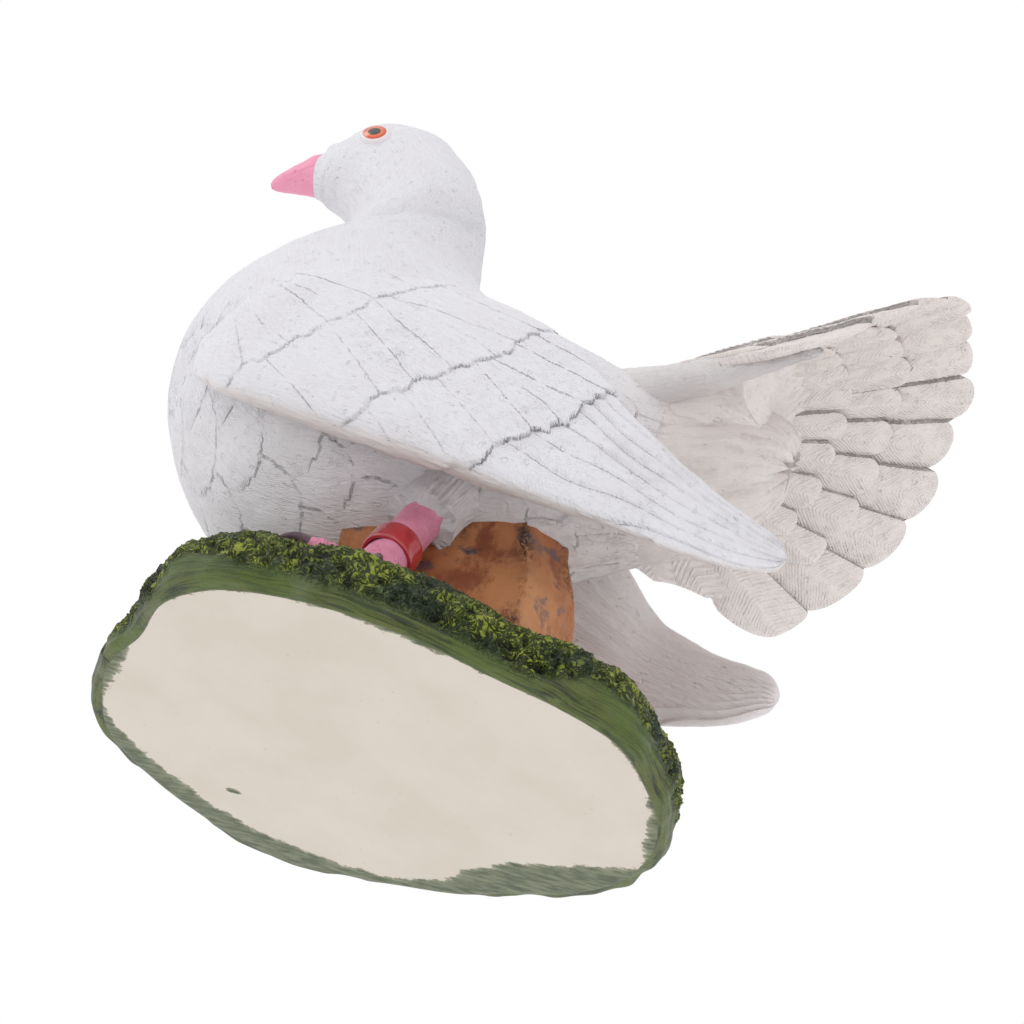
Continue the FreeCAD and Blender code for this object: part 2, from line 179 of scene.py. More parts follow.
class Paint:
    """Short way to wire the nodes of one material."""

    def __init__(self, name, roughness=0.6, specular=0.35):
        self.material = bpy.data.materials.new(name)
        self.material.use_nodes = True
        self.tree = self.material.node_tree
        self.shader = self.tree.nodes["Principled BSDF"]
        self.shader.inputs["Roughness"].default_value = roughness
        self.shader.inputs["Specular IOR Level"].default_value = specular

    def feed(self, socket, value):
        if isinstance(value, bpy.types.NodeSocket):
            self.tree.links.new(value, socket)
        elif isinstance(value, (tuple, list)) and socket.type == "RGBA":
            socket.default_value = (*value, 1.0)
        else:
            socket.default_value = value

    def make(self, kind, out, inputs, **settings):
        node = self.tree.nodes.new(kind)
        for key, value in settings.items():
            setattr(node, key, value)
        for key, value in inputs.items():
            self.feed(node.inputs[key], value)
        return node.outputs[out]

    def math(self, operation, a, b=0.0):
        return self.make("ShaderNodeMath", 0, {0: a, 1: b}, operation=operation)

    def times(self, first, *others):
        for other in others:
            first = self.math("MULTIPLY", first, other)
        return first

    def plus(self, a, b):
        return self.math("ADD", a, b)

    def minus(self, a, b):
        return self.math("SUBTRACT", a, b)

    def away(self, value, middle=0.5):
        """How far a value is from the middle, either way."""
        return self.math("ABSOLUTE", self.minus(value, middle))

    def mark(self, name):
        return self.make("ShaderNodeAttribute", "Vector", {}, attribute_name=name, attribute_type="GEOMETRY")

    def parts(self, vector):
        node = self.tree.nodes.new("ShaderNodeSeparateXYZ")
        self.feed(node.inputs[0], vector)
        return node.outputs[:3]

    def place(self):
        """Position on the object in metres."""
        return self.make("ShaderNodeTexCoord", "Object", {})

    def grain(self, vector, scale, detail=3.0, rough=0.55, swirl=0.0):
        return self.make("ShaderNodeTexNoise", 0, {"Vector": vector, "Scale": scale, "Detail": detail,
                                                   "Roughness": rough, "Distortion": swirl})

    def scaled(self, vector, factors):
        return self.make("ShaderNodeVectorMath", 0, {0: vector, 1: factors}, operation="MULTIPLY")

    def ramp(self, value, low, high):
        return self.make("ShaderNodeMapRange", 0, {"Value": value, "From Min": low, "From Max": high},
                         interpolation_type="SMOOTHSTEP")

    def blend(self, factor, a, b):
        return self.make("ShaderNodeMix", 2, {0: factor, 6: a, 7: b}, data_type="RGBA")

    def lay(self, color, tint, mask, strength):
        """The colour with a tint laid over it where the mask is."""
        return self.blend(self.times(mask, strength), color, tint)

    def bump(self, height, distance, under=None):
        inputs = {"Height": height, "Distance": distance * MM, "Strength": 1.0}
        if under is not None:
            inputs["Normal"] = under
        return self.make("ShaderNodeBump", 0, inputs)

    def finish(self, color, normal):
        self.feed(self.shader.inputs["Base Color"], color)
        self.feed(self.shader.inputs["Normal"], normal)
        return self.material


def plumage(name, groove, barbs, hairs, pitch, white=(0.82, 0.81, 0.85)):
    """Matte paint over carved feathers, with the groove colour laid as painted shade. The mark "vane" is
    (across, along, shaft) of a feather in mm, "hair" runs with the strokes, and the shade mark is (painted
    shade in grooves and creases, cream painted shade, barb strength)."""
    paint = Paint(name, 0.6, 0.25)
    across, along, shaft = paint.parts(paint.mark("vane"))
    dark, warm, strength = paint.parts(paint.mark("wear_and_shade"))
    place = paint.place()
    # barbs slant back from the shaft
    slant = paint.minus(along, paint.times(paint.math("POWER", paint.math("ABSOLUTE", across), 1.25), 0.75))
    slant = paint.plus(slant, paint.times(paint.grain(place, 90.0, 2.0), pitch * 2.2))
    rib = paint.math("SINE", paint.times(slant, TURN / pitch))
    patchy = paint.ramp(paint.grain(place, 210.0, 2.0), 0.30, 0.62)
    rib = paint.plus(paint.times(rib, 0.5, strength, patchy), paint.times(shaft, 0.6))
    stroke = paint.grain(paint.mark("hair"), 1.0, 4.0, 0.62)
    normal = paint.bump(rib, 0.26 * barbs)
    normal = paint.bump(stroke, 1.2 * hairs, normal)
    normal = paint.bump(paint.grain(place, 900.0, 2.0, 0.6), 0.12, normal)
    normal = paint.bump(paint.ramp(paint.grain(place, 330.0, 2.0, 0.5), 0.30, 0.35), 0.2, normal)
    dull = tuple(c * t for c, t in zip(white, (0.965, 0.955, 0.95)))
    cream = tuple(c * t for c, t in zip(white, (0.99, 0.935, 0.885)))
    color = paint.blend(paint.ramp(paint.grain(place, 38.0, 3.0, 0.6), 0.35, 0.75), white, dull)
    # cream painted shade on plumage that faces down and lies under the tail
    color = paint.blend(warm, color, cream)
    # painted shade in the dips of the hair strokes
    color = paint.lay(color, groove, paint.ramp(stroke, 0.46, 0.32), 0.07 * hairs)
    # painted shade in the grooves and creases between feathers, in patches
    color = paint.lay(color, groove, paint.ramp(paint.grain(place, 160.0, 3.0), 0.36, 0.62), dark)
    return paint.finish(color, normal)


def plain_paint(name, main, shade, size, roughness, rough_height):
    """One paint colour, mottled, over slightly uneven resin with dented pits that are darkened as painted
    shade.
    """
    paint = Paint(name, roughness, 0.4)
    place = paint.place()
    color = paint.blend(paint.ramp(paint.grain(place, size, 4.0), 0.35, 0.72), main, shade)
    pits = paint.ramp(paint.grain(place, size * 9, 2.0), 0.33, 0.28)
    # the pits darkened: painted shade in the dents
    color = paint.lay(color, tuple(c * 0.35 for c in shade), pits, 0.5)
    normal = paint.bump(paint.grain(place, size * 5, 4.0, 0.6), rough_height)
    return paint.finish(color, paint.bump(paint.minus(1.0, pits), rough_height * 0.6, normal))


def rock_paint():
    """Orange-brown stone with smoky blue-grey and near-black streaks, curly at its worn corners, where the
    curly relief has a painted highlight on its crests and painted shade in its grooves.
    """
    paint = Paint("rock_paint", 0.5, 0.35)
    place = paint.place()
    corner = paint.parts(paint.mark("wear_and_shade"))[0]
    streak = paint.grain(paint.scaled(place, (1.0, 1.0, 0.45)), 75.0, 6.0, 0.68)
    curl = paint.ramp(paint.away(paint.grain(place, 430.0, 1.0, 0.5, 2.6)), 0.0, 0.09)
    warm = paint.ramp(paint.grain(place, 30.0, 3.0), 0.3, 0.7)
    color = paint.blend(warm, (0.37, 0.125, 0.042), (0.56, 0.25, 0.105))
    color = paint.blend(paint.ramp(streak, 0.50, 0.36), color, (0.25, 0.075, 0.03))
    # painted highlight: lighter orange on the crests of the curly relief at the worn corners
    color = paint.lay(color, (0.70, 0.36, 0.20), paint.times(corner, paint.ramp(curl, 0.4, 0.9)), 0.7)
    smoke = paint.ramp(paint.grain(place, 48.0, 5.0, 0.7), 0.55, 0.64)
    color = paint.lay(color, (0.11, 0.095, 0.11), smoke, 0.75)
    black = paint.ramp(paint.grain(place, 95.0, 6.0, 0.75), 0.60, 0.68)
    color = paint.lay(color, (0.035, 0.028, 0.03), black, 0.75)
    # painted shade: dark brown in the grooves of the curly relief at the worn corners
    color = paint.lay(color, (0.14, 0.04, 0.02), paint.times(corner, paint.ramp(curl, 0.35, 0.0)), 0.45)
    normal = paint.bump(paint.grain(place, 420.0, 5.0, 0.65), 0.35)
    normal = paint.bump(streak, 0.6, normal)
    return paint.finish(color, paint.bump(paint.times(curl, corner), 1.3, normal))


def moss_colour(paint, place, tuft, rough):
    """Dark green with a yellow-green painted highlight on the crests and near-black painted shade in the
    pits.
    """
    mottle = paint.ramp(paint.grain(place, 62.0, 5.0, 0.7), 0.40, 0.62)
    color = paint.blend(mottle, (0.026, 0.048, 0.013), (0.105, 0.150, 0.020))
    highlight_patches = paint.ramp(paint.grain(place, 60.0, 5.0, 0.75), 0.38, 0.58)
    # yellow-green painted highlight on the tuft crests, in patches
    color = paint.lay(color, (0.330, 0.380, 0.030), paint.times(highlight_patches, paint.ramp(tuft, 0.35, 0.95)), 0.85)
    # near-black painted shade in the low places between tufts
    color = paint.lay(color, (0.007, 0.014, 0.006), paint.times(paint.ramp(tuft, 0.26, 0.0), rough), 0.65)
    teal = paint.ramp(paint.grain(paint.scaled(place, (1.0, 1.0, 1.3)), 80.0, 4.0, 0.7), 0.56, 0.70)
    return paint.lay(color, (0.045, 0.085, 0.045), teal, 0.3)


def wall_colour(paint, place, brush, brushed):
    """Smooth olive paint with dark brush lines, brighter in places."""
    olive = paint.blend(paint.ramp(brushed, 0.36, 0.56), (0.012, 0.022, 0.007), (0.105, 0.125, 0.028))
    lines = paint.grain(paint.scaled(brush, (0.6, 2.4, 1.0)), 1.0, 2.0, 0.5)
    olive = paint.lay(olive, (0.008, 0.014, 0.005), paint.ramp(lines, 0.40, 0.32), 0.8)
    shade = paint.ramp(paint.grain(place, 34.0, 3.0, 0.6), 0.40, 0.66)
    return paint.blend(shade, olive, paint.blend(0.6, olive, (0.085, 0.145, 0.018)))


def bare_colour(paint, place):
    """Clean cream resin with a few dust specks and scratches."""
    warm = paint.ramp(paint.grain(place, 26.0, 4.0), 0.35, 0.7)
    clean = paint.blend(warm, (0.700, 0.632, 0.560), (0.655, 0.588, 0.510))
    clean = paint.lay(clean, (0.40, 0.34, 0.26), paint.ramp(paint.grain(place, 420.0, 2.0), 0.70, 0.75), 0.35)
    scratch = paint.grain(paint.scaled(place, (700.0, 90.0, 1.0)), 1.0, 2.0)
    return paint.lay(clean, (0.82, 0.76, 0.70), paint.ramp(scratch, 0.72, 0.78), 0.35)


def moss_paint():
    """Green paint brushed over moss and wall, and bare cream resin under the base.
    The mark "ground" is (mm inside the bare resin, depth of a hollow, which is painted as shade, wall)."""
    paint = Paint("moss_paint", 0.42, 0.45)
    place = paint.place()
    bare, hollow, wall = paint.parts(paint.mark("ground"))
    brush = paint.mark("brush")
    brushed = paint.grain(brush, 1.0, 5.0, 0.65)
    rough = paint.minus(1.0, wall)
    tuft = paint.times(paint.ramp(paint.away(paint.grain(place, 300.0, 2.5, 0.5, 1.8)), 0.0, 0.11), rough)
    olive = wall_colour(paint, place, brush, brushed)
    color = paint.blend(wall, moss_colour(paint, place, tuft, rough), olive)
    grey = paint.ramp(paint.grain(place, 42.0, 3.0), 0.56, 0.72)
    color = paint.lay(color, (0.205, 0.225, 0.150), paint.times(grey, 0.4), wall)
    # near-black painted shade in the hollows between the moss tufts
    color = paint.lay(color, (0.008, 0.014, 0.006), hollow, 0.85)
    # the green laps under the edge as a dragged film
    drag = paint.grain(paint.scaled(place, (500.0, 120.0, 1.0)), 1.0, 3.0, 0.6)
    inset = paint.plus(bare, paint.times(paint.minus(paint.grain(place, 150.0, 5.0, 0.75), 0.5), 9.0))
    inset = paint.plus(inset, paint.times(paint.minus(drag, 0.5), 4.0))
    film = paint.blend(paint.ramp(drag, 0.35, 0.65), (0.060, 0.080, 0.035), (0.175, 0.195, 0.115))
    film = paint.lay(film, (0.36, 0.35, 0.24), paint.ramp(inset, -2.2, 0.2), 0.55)
    under = paint.ramp(bare, -40.0, -39.0)
    edge = paint.ramp(inset, -0.3, 0.5)
    color = paint.blend(edge, paint.blend(under, color, film), bare_colour(paint, place))
    paint.feed(paint.shader.inputs["Roughness"], paint.blend(edge, (0.40, 0.40, 0.40), (0.75, 0.75, 0.75)))
    normal = paint.bump(paint.grain(place, 330.0, 5.0, 0.7), 0.8)
    normal = paint.bump(tuft, 1.3, paint.bump(brushed, 1.0, normal))
    flat = paint.bump(paint.grain(place, 300.0, 3.0), 0.10)
    mixed = paint.make("ShaderNodeMix", 1, {0: under, 4: normal, 5: flat}, data_type="VECTOR")
    return paint.finish(color, mixed)


def eye_paint():
    """Orange-red iris with a darker rim and a black pupil; the mark "ring" is the distance out."""
    paint = Paint("eye_paint", 0.12, 0.6)
    out = paint.parts(paint.mark("ring"))[0]
    fleck = paint.grain(paint.place(), 2400.0, 3.0)
    edge = paint.plus(out, paint.times(fleck, 0.12))
    color = paint.blend(paint.ramp(edge, 0.60, 1.02), (0.85, 0.16, 0.03), (0.60, 0.06, 0.02))
    color = paint.blend(paint.ramp(edge, 1.07, 1.10), color, (0.80, 0.74, 0.76))
    color = paint.blend(paint.ramp(edge, 0.64, 0.58), color, (0.006, 0.008, 0.006))
    paint.shader.inputs["Coat Weight"].default_value = 0.8
    return paint.finish(color, paint.bump(fleck, 0.03))


def ring_paint():
    """Glossy red enamel, uneven in tone."""
    paint = Paint("ring_paint", 0.16, 0.6)
    place = paint.place()
    worn = paint.ramp(paint.grain(place, 120.0, 3.0), 0.35, 0.7)
    paint.shader.inputs["Coat Weight"].default_value = 0.7
    return paint.finish(paint.blend(worn, (0.47, 0.022, 0.030), (0.33, 0.012, 0.018)),
                        paint.bump(paint.grain(place, 260.0, 3.0), 0.25))


WHITE = plumage("plumage_white", (0.42, 0.37, 0.36), 0.7, 0.8, 1.5)
WING_WHITE = plumage("plumage_wing", (0.36, 0.31, 0.29), 0.8, 0.7, 1.4)
# The tail's white is a little darker and warmer than the body's: painted shade of the fan's downward-facing
# side.
TAIL_WHITE = plumage("plumage_tail", (0.42, 0.34, 0.30), 1.1, 0.55, 1.5, (0.80, 0.775, 0.785))
ROCK = rock_paint()
MOSS = moss_paint()
PINK = plain_paint("beak_paint", (0.88, 0.36, 0.50), (0.82, 0.30, 0.44), 90.0, 0.42, 0.16)
SKIN = plain_paint("skin_paint", (0.70, 0.26, 0.38), (0.62, 0.20, 0.31), 130.0, 0.40, 0.5)
CLAW = plain_paint("claw_paint", (0.09, 0.055, 0.075), (0.16, 0.10, 0.12), 200.0, 0.35, 0.12)
EYE = eye_paint()
RING = ring_paint()


# ---------------------------------------------------------------- feathers

def shingles(along, across, count, reach, spread, seed):
    """Overlapping round feathers. along counts rows toward the tail, across counts feathers round.
    Gives height, across and along the feather from 0 at the middle, closeness to its edge."""
    height = np.zeros(along.shape)
    side = np.zeros(along.shape)
    length = np.zeros(along.shape)
    rim = np.zeros(along.shape)
    first = np.floor(along).astype(np.int64)
    for back in range(int(math.ceil(reach)) + 1):
        row = first - back
        shift = 0.5 * (row & 1)
        near = np.round(across - shift).astype(np.int64)
        for step in (-1, 0, 1):
            index = near + step
            key = np.mod(index, count)
            shove = hashed(row, key, 1, seed) - 0.5
            sway = hashed(row, key, 2, seed) - 0.5
            v = (along - row - 0.35 * shove) / reach
            u = (across - index - shift - 0.18 * sway) / spread
            taper = np.clip((v - 0.5) / 0.5, 0, 1)
            outline = np.sqrt(np.clip(1 - taper ** 2.2, 0, 1))
            inside = (v > 0) & (v < 1) & (np.abs(u) < outline)
            gap = np.minimum(outline - np.abs(u), (1 - v) * 1.6)
            rise = 0.35 + 0.65 * v + 0.18 * (1 - u * u)
            height = np.where(inside, rise, height)
            side = np.where(inside, u, side)
            length = np.where(inside, v, length)
            rim = np.where(inside, np.clip(1 - gap / 0.10, 0, 1), rim)
    return height, side, length, rim


# ---------------------------------------------------------------- body

# Back point (y, z), underside point (y, z), half width: rump to face.
BODY_STATIONS = (
    (62.0, 157.0, 62.0, 99.0, 28.5),
    (42.0, 163.0, 41.0, 89.0, 36.5),
    (21.0, 169.0, 16.0, 77.0, 46.0),
    (2.0, 176.0, -14.0, 66.0, 50.5),
    (-13.0, 183.0, -44.0, 60.0, 52.0),
    (-21.0, 191.0, -74.0, 65.5, 52.0),
    (-25.5, 199.0, -98.3, 87.5, 50.0),
    (-28.0, 207.0, -115.2, 116.5, 45.0),
    (-30.0, 217.0, -118.5, 145.5, 38.0),
    (-32.5, 228.0, -96.0, 169.0, 25.5),
    (-36.8, 239.5, -83.0, 192.5, 25.0),
    (-43.0, 250.0, -81.5, 209.5, 23.0),
    (-52.0, 260.5, -83.5, 219.0, 21.5),
    (-63.4, 269.2, -88.5, 224.0, 20.5),
    (-77.5, 270.8, -94.0, 228.0, 19.0),
    (-90.0, 266.0, -99.0, 230.5, 15.5),
    (-100.0, 257.6, -101.5, 232.0, 11.5),
    (-106.8, 250.0, -104.3, 233.3, 8.0),
)
UNDERTAIL_STATIONS = (
    (56.0, 157.0, 56.0, 97.0, 29.5), (66.0, 158.0, 66.0, 101.0, 28.0), (76.0, 161.0, 76.0, 107.0, 26.0),
    (90.0, 162.0, 89.0, 116.0, 22.5), (99.0, 160.5, 97.0, 124.0, 17.5), (102.5, 158.0, 100.5, 130.0, 12.0),
    (103.5, 152.0, 102.0, 138.0, 5.0),
)


def oval_tube(stations, rows, cols):
    """Oval rings through the stations. Angle 0 is the back, a quarter turn is the left side."""
    table = resample(stations, rows)
    back = stack(0.0, table[:, 0], table[:, 1])
    under = stack(0.0, table[:, 2], table[:, 3])
    middle = (back + under) / 2
    reach = (back - under) / 2
    angle = np.arange(cols) / cols * TURN
    sideways = np.zeros((rows, 1, 3))
    sideways[:, 0, 0] = table[:, 4]
    points = (middle[:, None] + np.cos(angle)[None, :, None] * reach[:, None]
              + np.sin(angle)[None, :, None] * sideways)
    return points, angle


def bump_at(points, centre, radius, height):
    """Round swelling round a centre on a surface."""
    distance = np.linalg.norm(points - np.array(centre), axis=-1)
    return height * np.exp(-(distance / radius) ** 2)


def outward(points, wrap=True):
    """Normals that point away from the middle of the surface."""
    normals = grid_normals(points, wrap)
    if np.sum(normals * (points - points.mean(axis=1, keepdims=True))) < 0:
        normals = -normals
    return normals


def hair_marks(points, angle, along, fineness=1.0):
    """Coordinates drawn out along the strokes, for hair-like feather lines."""
    width = np.linalg.norm(points - points.mean(axis=1, keepdims=True), axis=-1)
    width = np.maximum(width, 12.0)
    return stack(np.sin(angle) * width * fineness, np.cos(angle) * width * fineness, along * 0.16)


def shade_warmth(points):
    """Cream tint toward the tail and underneath: painted shade of the plumage under the fan and facing down.
    """
    return np.clip(ease(20, 80, points[..., 1]) * 0.8 + 0.2 * ease(120, 70, points[..., 2]), 0, 1)


def tuft_marks(points, turn, along, dark, warm, barb, width, fineness):
    """Marks of a surface covered in hair-like strokes; dark and warm set its painted shade."""
    return {"vane": stack(turn * width, along, 0.0 * turn), "wear_and_shade": stack(dark, warm, barb + 0 * along),
            "hair": hair_marks(points, turn, along, fineness)}


def build_body():
    rows, cols = 300, 300
    points, angle = oval_tube(BODY_STATIONS, rows, cols)
    points, turn = points[::-1].copy(), np.broadcast_to(angle, (rows, cols))
    normals = outward(points)
    along = run_length(points)
    height_z = points[..., 2]
    # feather rows: small on the neck, large on the breast and belly
    belly = ease(158, 118, height_z - 12.0 * noise(points / 30, 13))
    pitch = 9.0 + 10.0 * ease(225, 150, height_z)
    rows_along = np.concatenate([np.zeros((1, cols)), np.cumsum(np.diff(along, axis=0) / pitch[1:], axis=0)])
    count = 14
    height, side, length, rim = shingles(rows_along + 0.25, turn / TURN * count, count, 1.75, 0.62, 5)
    dorsal = ease(-0.2, 0.7, np.cos(turn))
    strength = belly * (1 - 0.55 * dorsal) * (0.75 + 0.35 * fractal(points, 45, 2, 8))
    relief = 0.34 * strength * (height - 0.7)
    relief = relief - 0.06 * strength * rim
    # small soft dents left by the sculptor's tool
    relief = relief + 0.30 * fractal(points * np.array([1, 1, 0.7]), 9, 3, 3)
    nape = ease(200, 225, height_z) * ease(262, 250, height_z)
    relief = relief + 0.30 * nape * fractal(points * np.array([1.0, 1.0, 0.35]), 2.6, 2, 14)
    relief = relief + 0.8 * fractal(points, 42, 2, 11)
    quiet = ease(-70, -92, points[..., 1]) * ease(228, 240, height_z)
    relief = relief * (1 - 0.7 * quiet)
    for x in (1, -1):
        relief = relief + bump_at(points, (3.2 * x, -104.5, 255.5), 5.2, 3.4)
        relief = relief + bump_at(points, (17.5 * x, -81.0, 251.5), 8.5, 1.5)
        relief = relief - bump_at(points, (13.0 * x, -96.0, 247.0), 7.0, 1.0)
    relief = relief * ease(0, 4, np.arange(rows))[:, None]
    points = points + normals * relief[..., None]
    vane = stack(side * pitch * 0.62 * 1.7, length * pitch * 1.75,
                 np.exp(-(side / 0.05) ** 2) * strength * 0.5)
    fade = ease(-0.4, 0.6, fractal(points, 30, 2, 12))
    # painted shade: feather rims darkened, broken up by fade, and cream painted shade toward the tail and
    # underneath
    wear_and_shade = stack(rim * strength * 0.07 * fade, shade_warmth(points), np.clip(strength * 0.85, 0, 1))
    marks = {"vane": vane, "wear_and_shade": wear_and_shade, "hair": hair_marks(points, turn, along, 1.0)}
    make_tube("body_shell", points, WHITE, "body", marks)
    return points, normals


def build_undertail():
    rows, cols = 150, 240
    points, angle = oval_tube(UNDERTAIL_STATIONS, rows, cols)
    turn = np.broadcast_to(angle, (rows, cols))
    normals = outward(points)
    along = run_length(points)
    strands = fractal(stack(np.sin(turn) * 14, np.cos(turn) * 14, along * 0.05), 1.0, 3, 21)
    ragged = np.round(turn / TURN * 15) - turn / TURN * 15
    lip = ease(0.72, 0.98, (np.arange(rows) / rows))[:, None]
    relief = 0.5 * strands + 0.6 * lip * np.cos(ragged * TURN / 2) + 0.8 * fractal(points, 12, 3, 22)
    relief = relief * ease(0, 6, np.arange(rows))[:, None]
    points = points + normals * relief[..., None]
    points[..., 1] += 2.2 * lip * (np.abs(ragged) * -2 + 0.5)
    # painted shade in the dips between strands; cream painted shade toward the tail and underneath
    dark = ease(0.2, -0.9, strands) * 0.3
    marks = tuft_marks(points, turn, along, dark, shade_warmth(points), 0.15, 25, 1.5)
    make_tube("undertail_cone", points, TAIL_WHITE, "undertail", marks)


# ---------------------------------------------------------------- wings

# y, upper edge (x, z), lower edge (x, z), half thickness, outward shift.
WING_STATIONS = (
    (-95.5, 41.0, 119.0, 41.5, 115.0, 1.0, -1.0),
    (-92.0, 37.0, 132.0, 43.0, 103.0, 4.0, 0.0), (-80.0, 36.0, 150.0, 50.0, 92.0, 10.0, 1.0),
    (-62.0, 33.0, 162.0, 54.0, 85.0, 13.0, 2.5), (-40.0, 29.0, 165.5, 57.5, 77.5, 14.5, 4.0),
    (-16.0, 26.0, 163.6, 59.5, 72.0, 15.0, 4.5), (8.0, 24.5, 159.0, 59.5, 68.5, 13.5, 4.3),
    (29.0, 30.5, 144.8, 58.0, 66.8, 10.8, 3.2), (49.0, 40.5, 123.0, 55.3, 66.4, 8.2, 2.0),
    (69.0, 48.0, 105.0, 52.0, 66.0, 5.6, 1.0), (88.0, 44.5, 93.5, 47.8, 66.4, 3.8, 0.4),
    (104.0, 39.6, 87.6, 43.2, 68.4, 2.8, 0.1), (111.0, 38.0, 85.0, 40.5, 71.6, 2.2, 0.0),
    (114.5, 38.0, 82.0, 39.4, 74.2, 1.5, 0.0), (116.0, 38.2, 79.8, 38.8, 76.8, 0.6, 0.0),
)
# Scalloped steps across the wing, (y, z) from the lower edge up: feathers in the row, step height.
WING_STEPS = (
    (((-78.0, 86.0), (-69.0, 94.0), (-57.0, 101.0), (-50.0, 111.0), (-41.0, 122.0), (-36.0, 134.0),
      (-23.0, 154.0), (-16.0, 172.0)), 7, 2.2, 0.8),
    (((-38.0, 62.0), (-29.0, 74.0), (-20.0, 82.0), (-13.0, 89.0), (0.0, 103.0), (12.0, 120.0),
      (14.0, 138.0), (20.0, 160.0)), 8, 2.6, 1.0),
    (((8.0, 58.0), (14.0, 66.0), (20.0, 73.0), (29.0, 84.0), (41.0, 98.0), (45.0, 117.0),
      (50.0, 135.0)), 7, 2.8, 1.2),
)


def line_frame(y, z, corners):
    """Distance along a broken line, and distance behind it, for points seen from the side."""
    corners = np.array(corners, float)
    best = np.full(y.shape, 1e9)
    along = np.zeros(y.shape)
    behind = np.zeros(y.shape)
    run = 0.0
    last = len(corners) - 2
    for i, (a, b) in enumerate(zip(corners[:-1], corners[1:])):
        way = b - a
        length = np.hypot(*way)
        way = way / length
        t = (y - a[0]) * way[0] + (z - a[1]) * way[1]
        low = -1e9 if i == 0 else 0.0
        high = 1e9 if i == last else length
        held = np.clip(t, low, high)
        gap_y = y - a[0] - held * way[0]
        gap_z = z - a[1] - held * way[1]
        gap = np.hypot(gap_y, gap_z)
        nearer = gap < best
        best = np.where(nearer, gap, best)
        along = np.where(nearer, run + held, along)
        sign = np.sign((y - a[0]) * way[1] - (z - a[1]) * way[0])
        behind = np.where(nearer, gap * sign, behind)
        run += length
    return along, behind, run


def wing_relief(y, z, chord):
    """Height, groove darkness for painted shade, and feather coordinates on the wing, seen from its side."""
    bands = 7.0
    wobble = 0.25 * np.sin(y / 19.0) + 0.12 * np.sin(y / 7.3 + chord * 9)
    lane = chord * bands + wobble
    inside = lane - np.floor(lane)
    height = 0.8 * ease(0.0, 0.16, inside) * (1.0 - 0.8 * inside) * (0.25 + 0.75 * ease(-40, 40, y))
    # dark lines along the feather bands: painted shade in the grooves
    groove = 0.26 * (np.exp(-(inside / 0.05) ** 2) + np.exp(-((1 - inside) / 0.04) ** 2)) * ease(5, 45, y)
    groove = groove * ease(-0.5, 0.5, fractal(stack(y / 3, z, 0.0), 6, 2, 39))
    side = (inside - 0.5) * 8.0
    length = y.copy()
    for order, (corners, count, depth, step) in reversed(list(enumerate(WING_STEPS))):
        along, behind, span = line_frame(y, z, corners)
        place = along / span * count + 0.25 * noise(stack(along / 17, 0.0, order * 3.0), 30)
        cell = np.floor(place)
        share = (place - cell) * 2 - 1
        vary = hashed(cell.astype(np.int64), order + np.zeros(y.shape, np.int64), 4, 9)
        bulge = depth * (np.sqrt(np.clip(1 - share ** 2, 0, 1)) - 0.5) * (0.5 + vary)
        bulge = bulge + 1.1 * noise(stack(y / 3.1, z / 3.1, order * 1.0), 31)
        ahead = bulge - behind
        cover = ease(0.0, 0.8, ahead)
        seam = np.exp(-((1 - np.abs(share)) / 0.10) ** 2) * np.exp(-np.clip(ahead, 0, 99) / 7.0)
        fold = 0.30 * np.clip(1 - np.abs(share), 0, 1) * np.exp(-np.clip(ahead, 0, 99) / 16.0)
        layer = step * (0.75 + 0.5 * np.exp(-np.clip(ahead, 0, None) / 6.0)) + fold - 0.05 * seam
        # a dark line just past each step edge: painted shadow of the feather step
        line = np.exp(-(np.clip(-ahead, 0, 99) / 0.6) ** 2) * (ahead < 0.3)
        broken = ease(-0.7, 0.5, fractal(stack(y, z, 0.0), 6, 3, 40 + order))
        groove = groove * (1 - cover) + line * (0.15 + 0.85 * broken)
        height = height * (1 - cover) + cover * (layer + 0.12 * height) - 0.2 * line
        side = np.where(ahead > 0, share * span / count / 2, side)
        length = np.where(ahead > 0, -ahead, length)
    return height, np.clip(groove, 0, 1), side, length


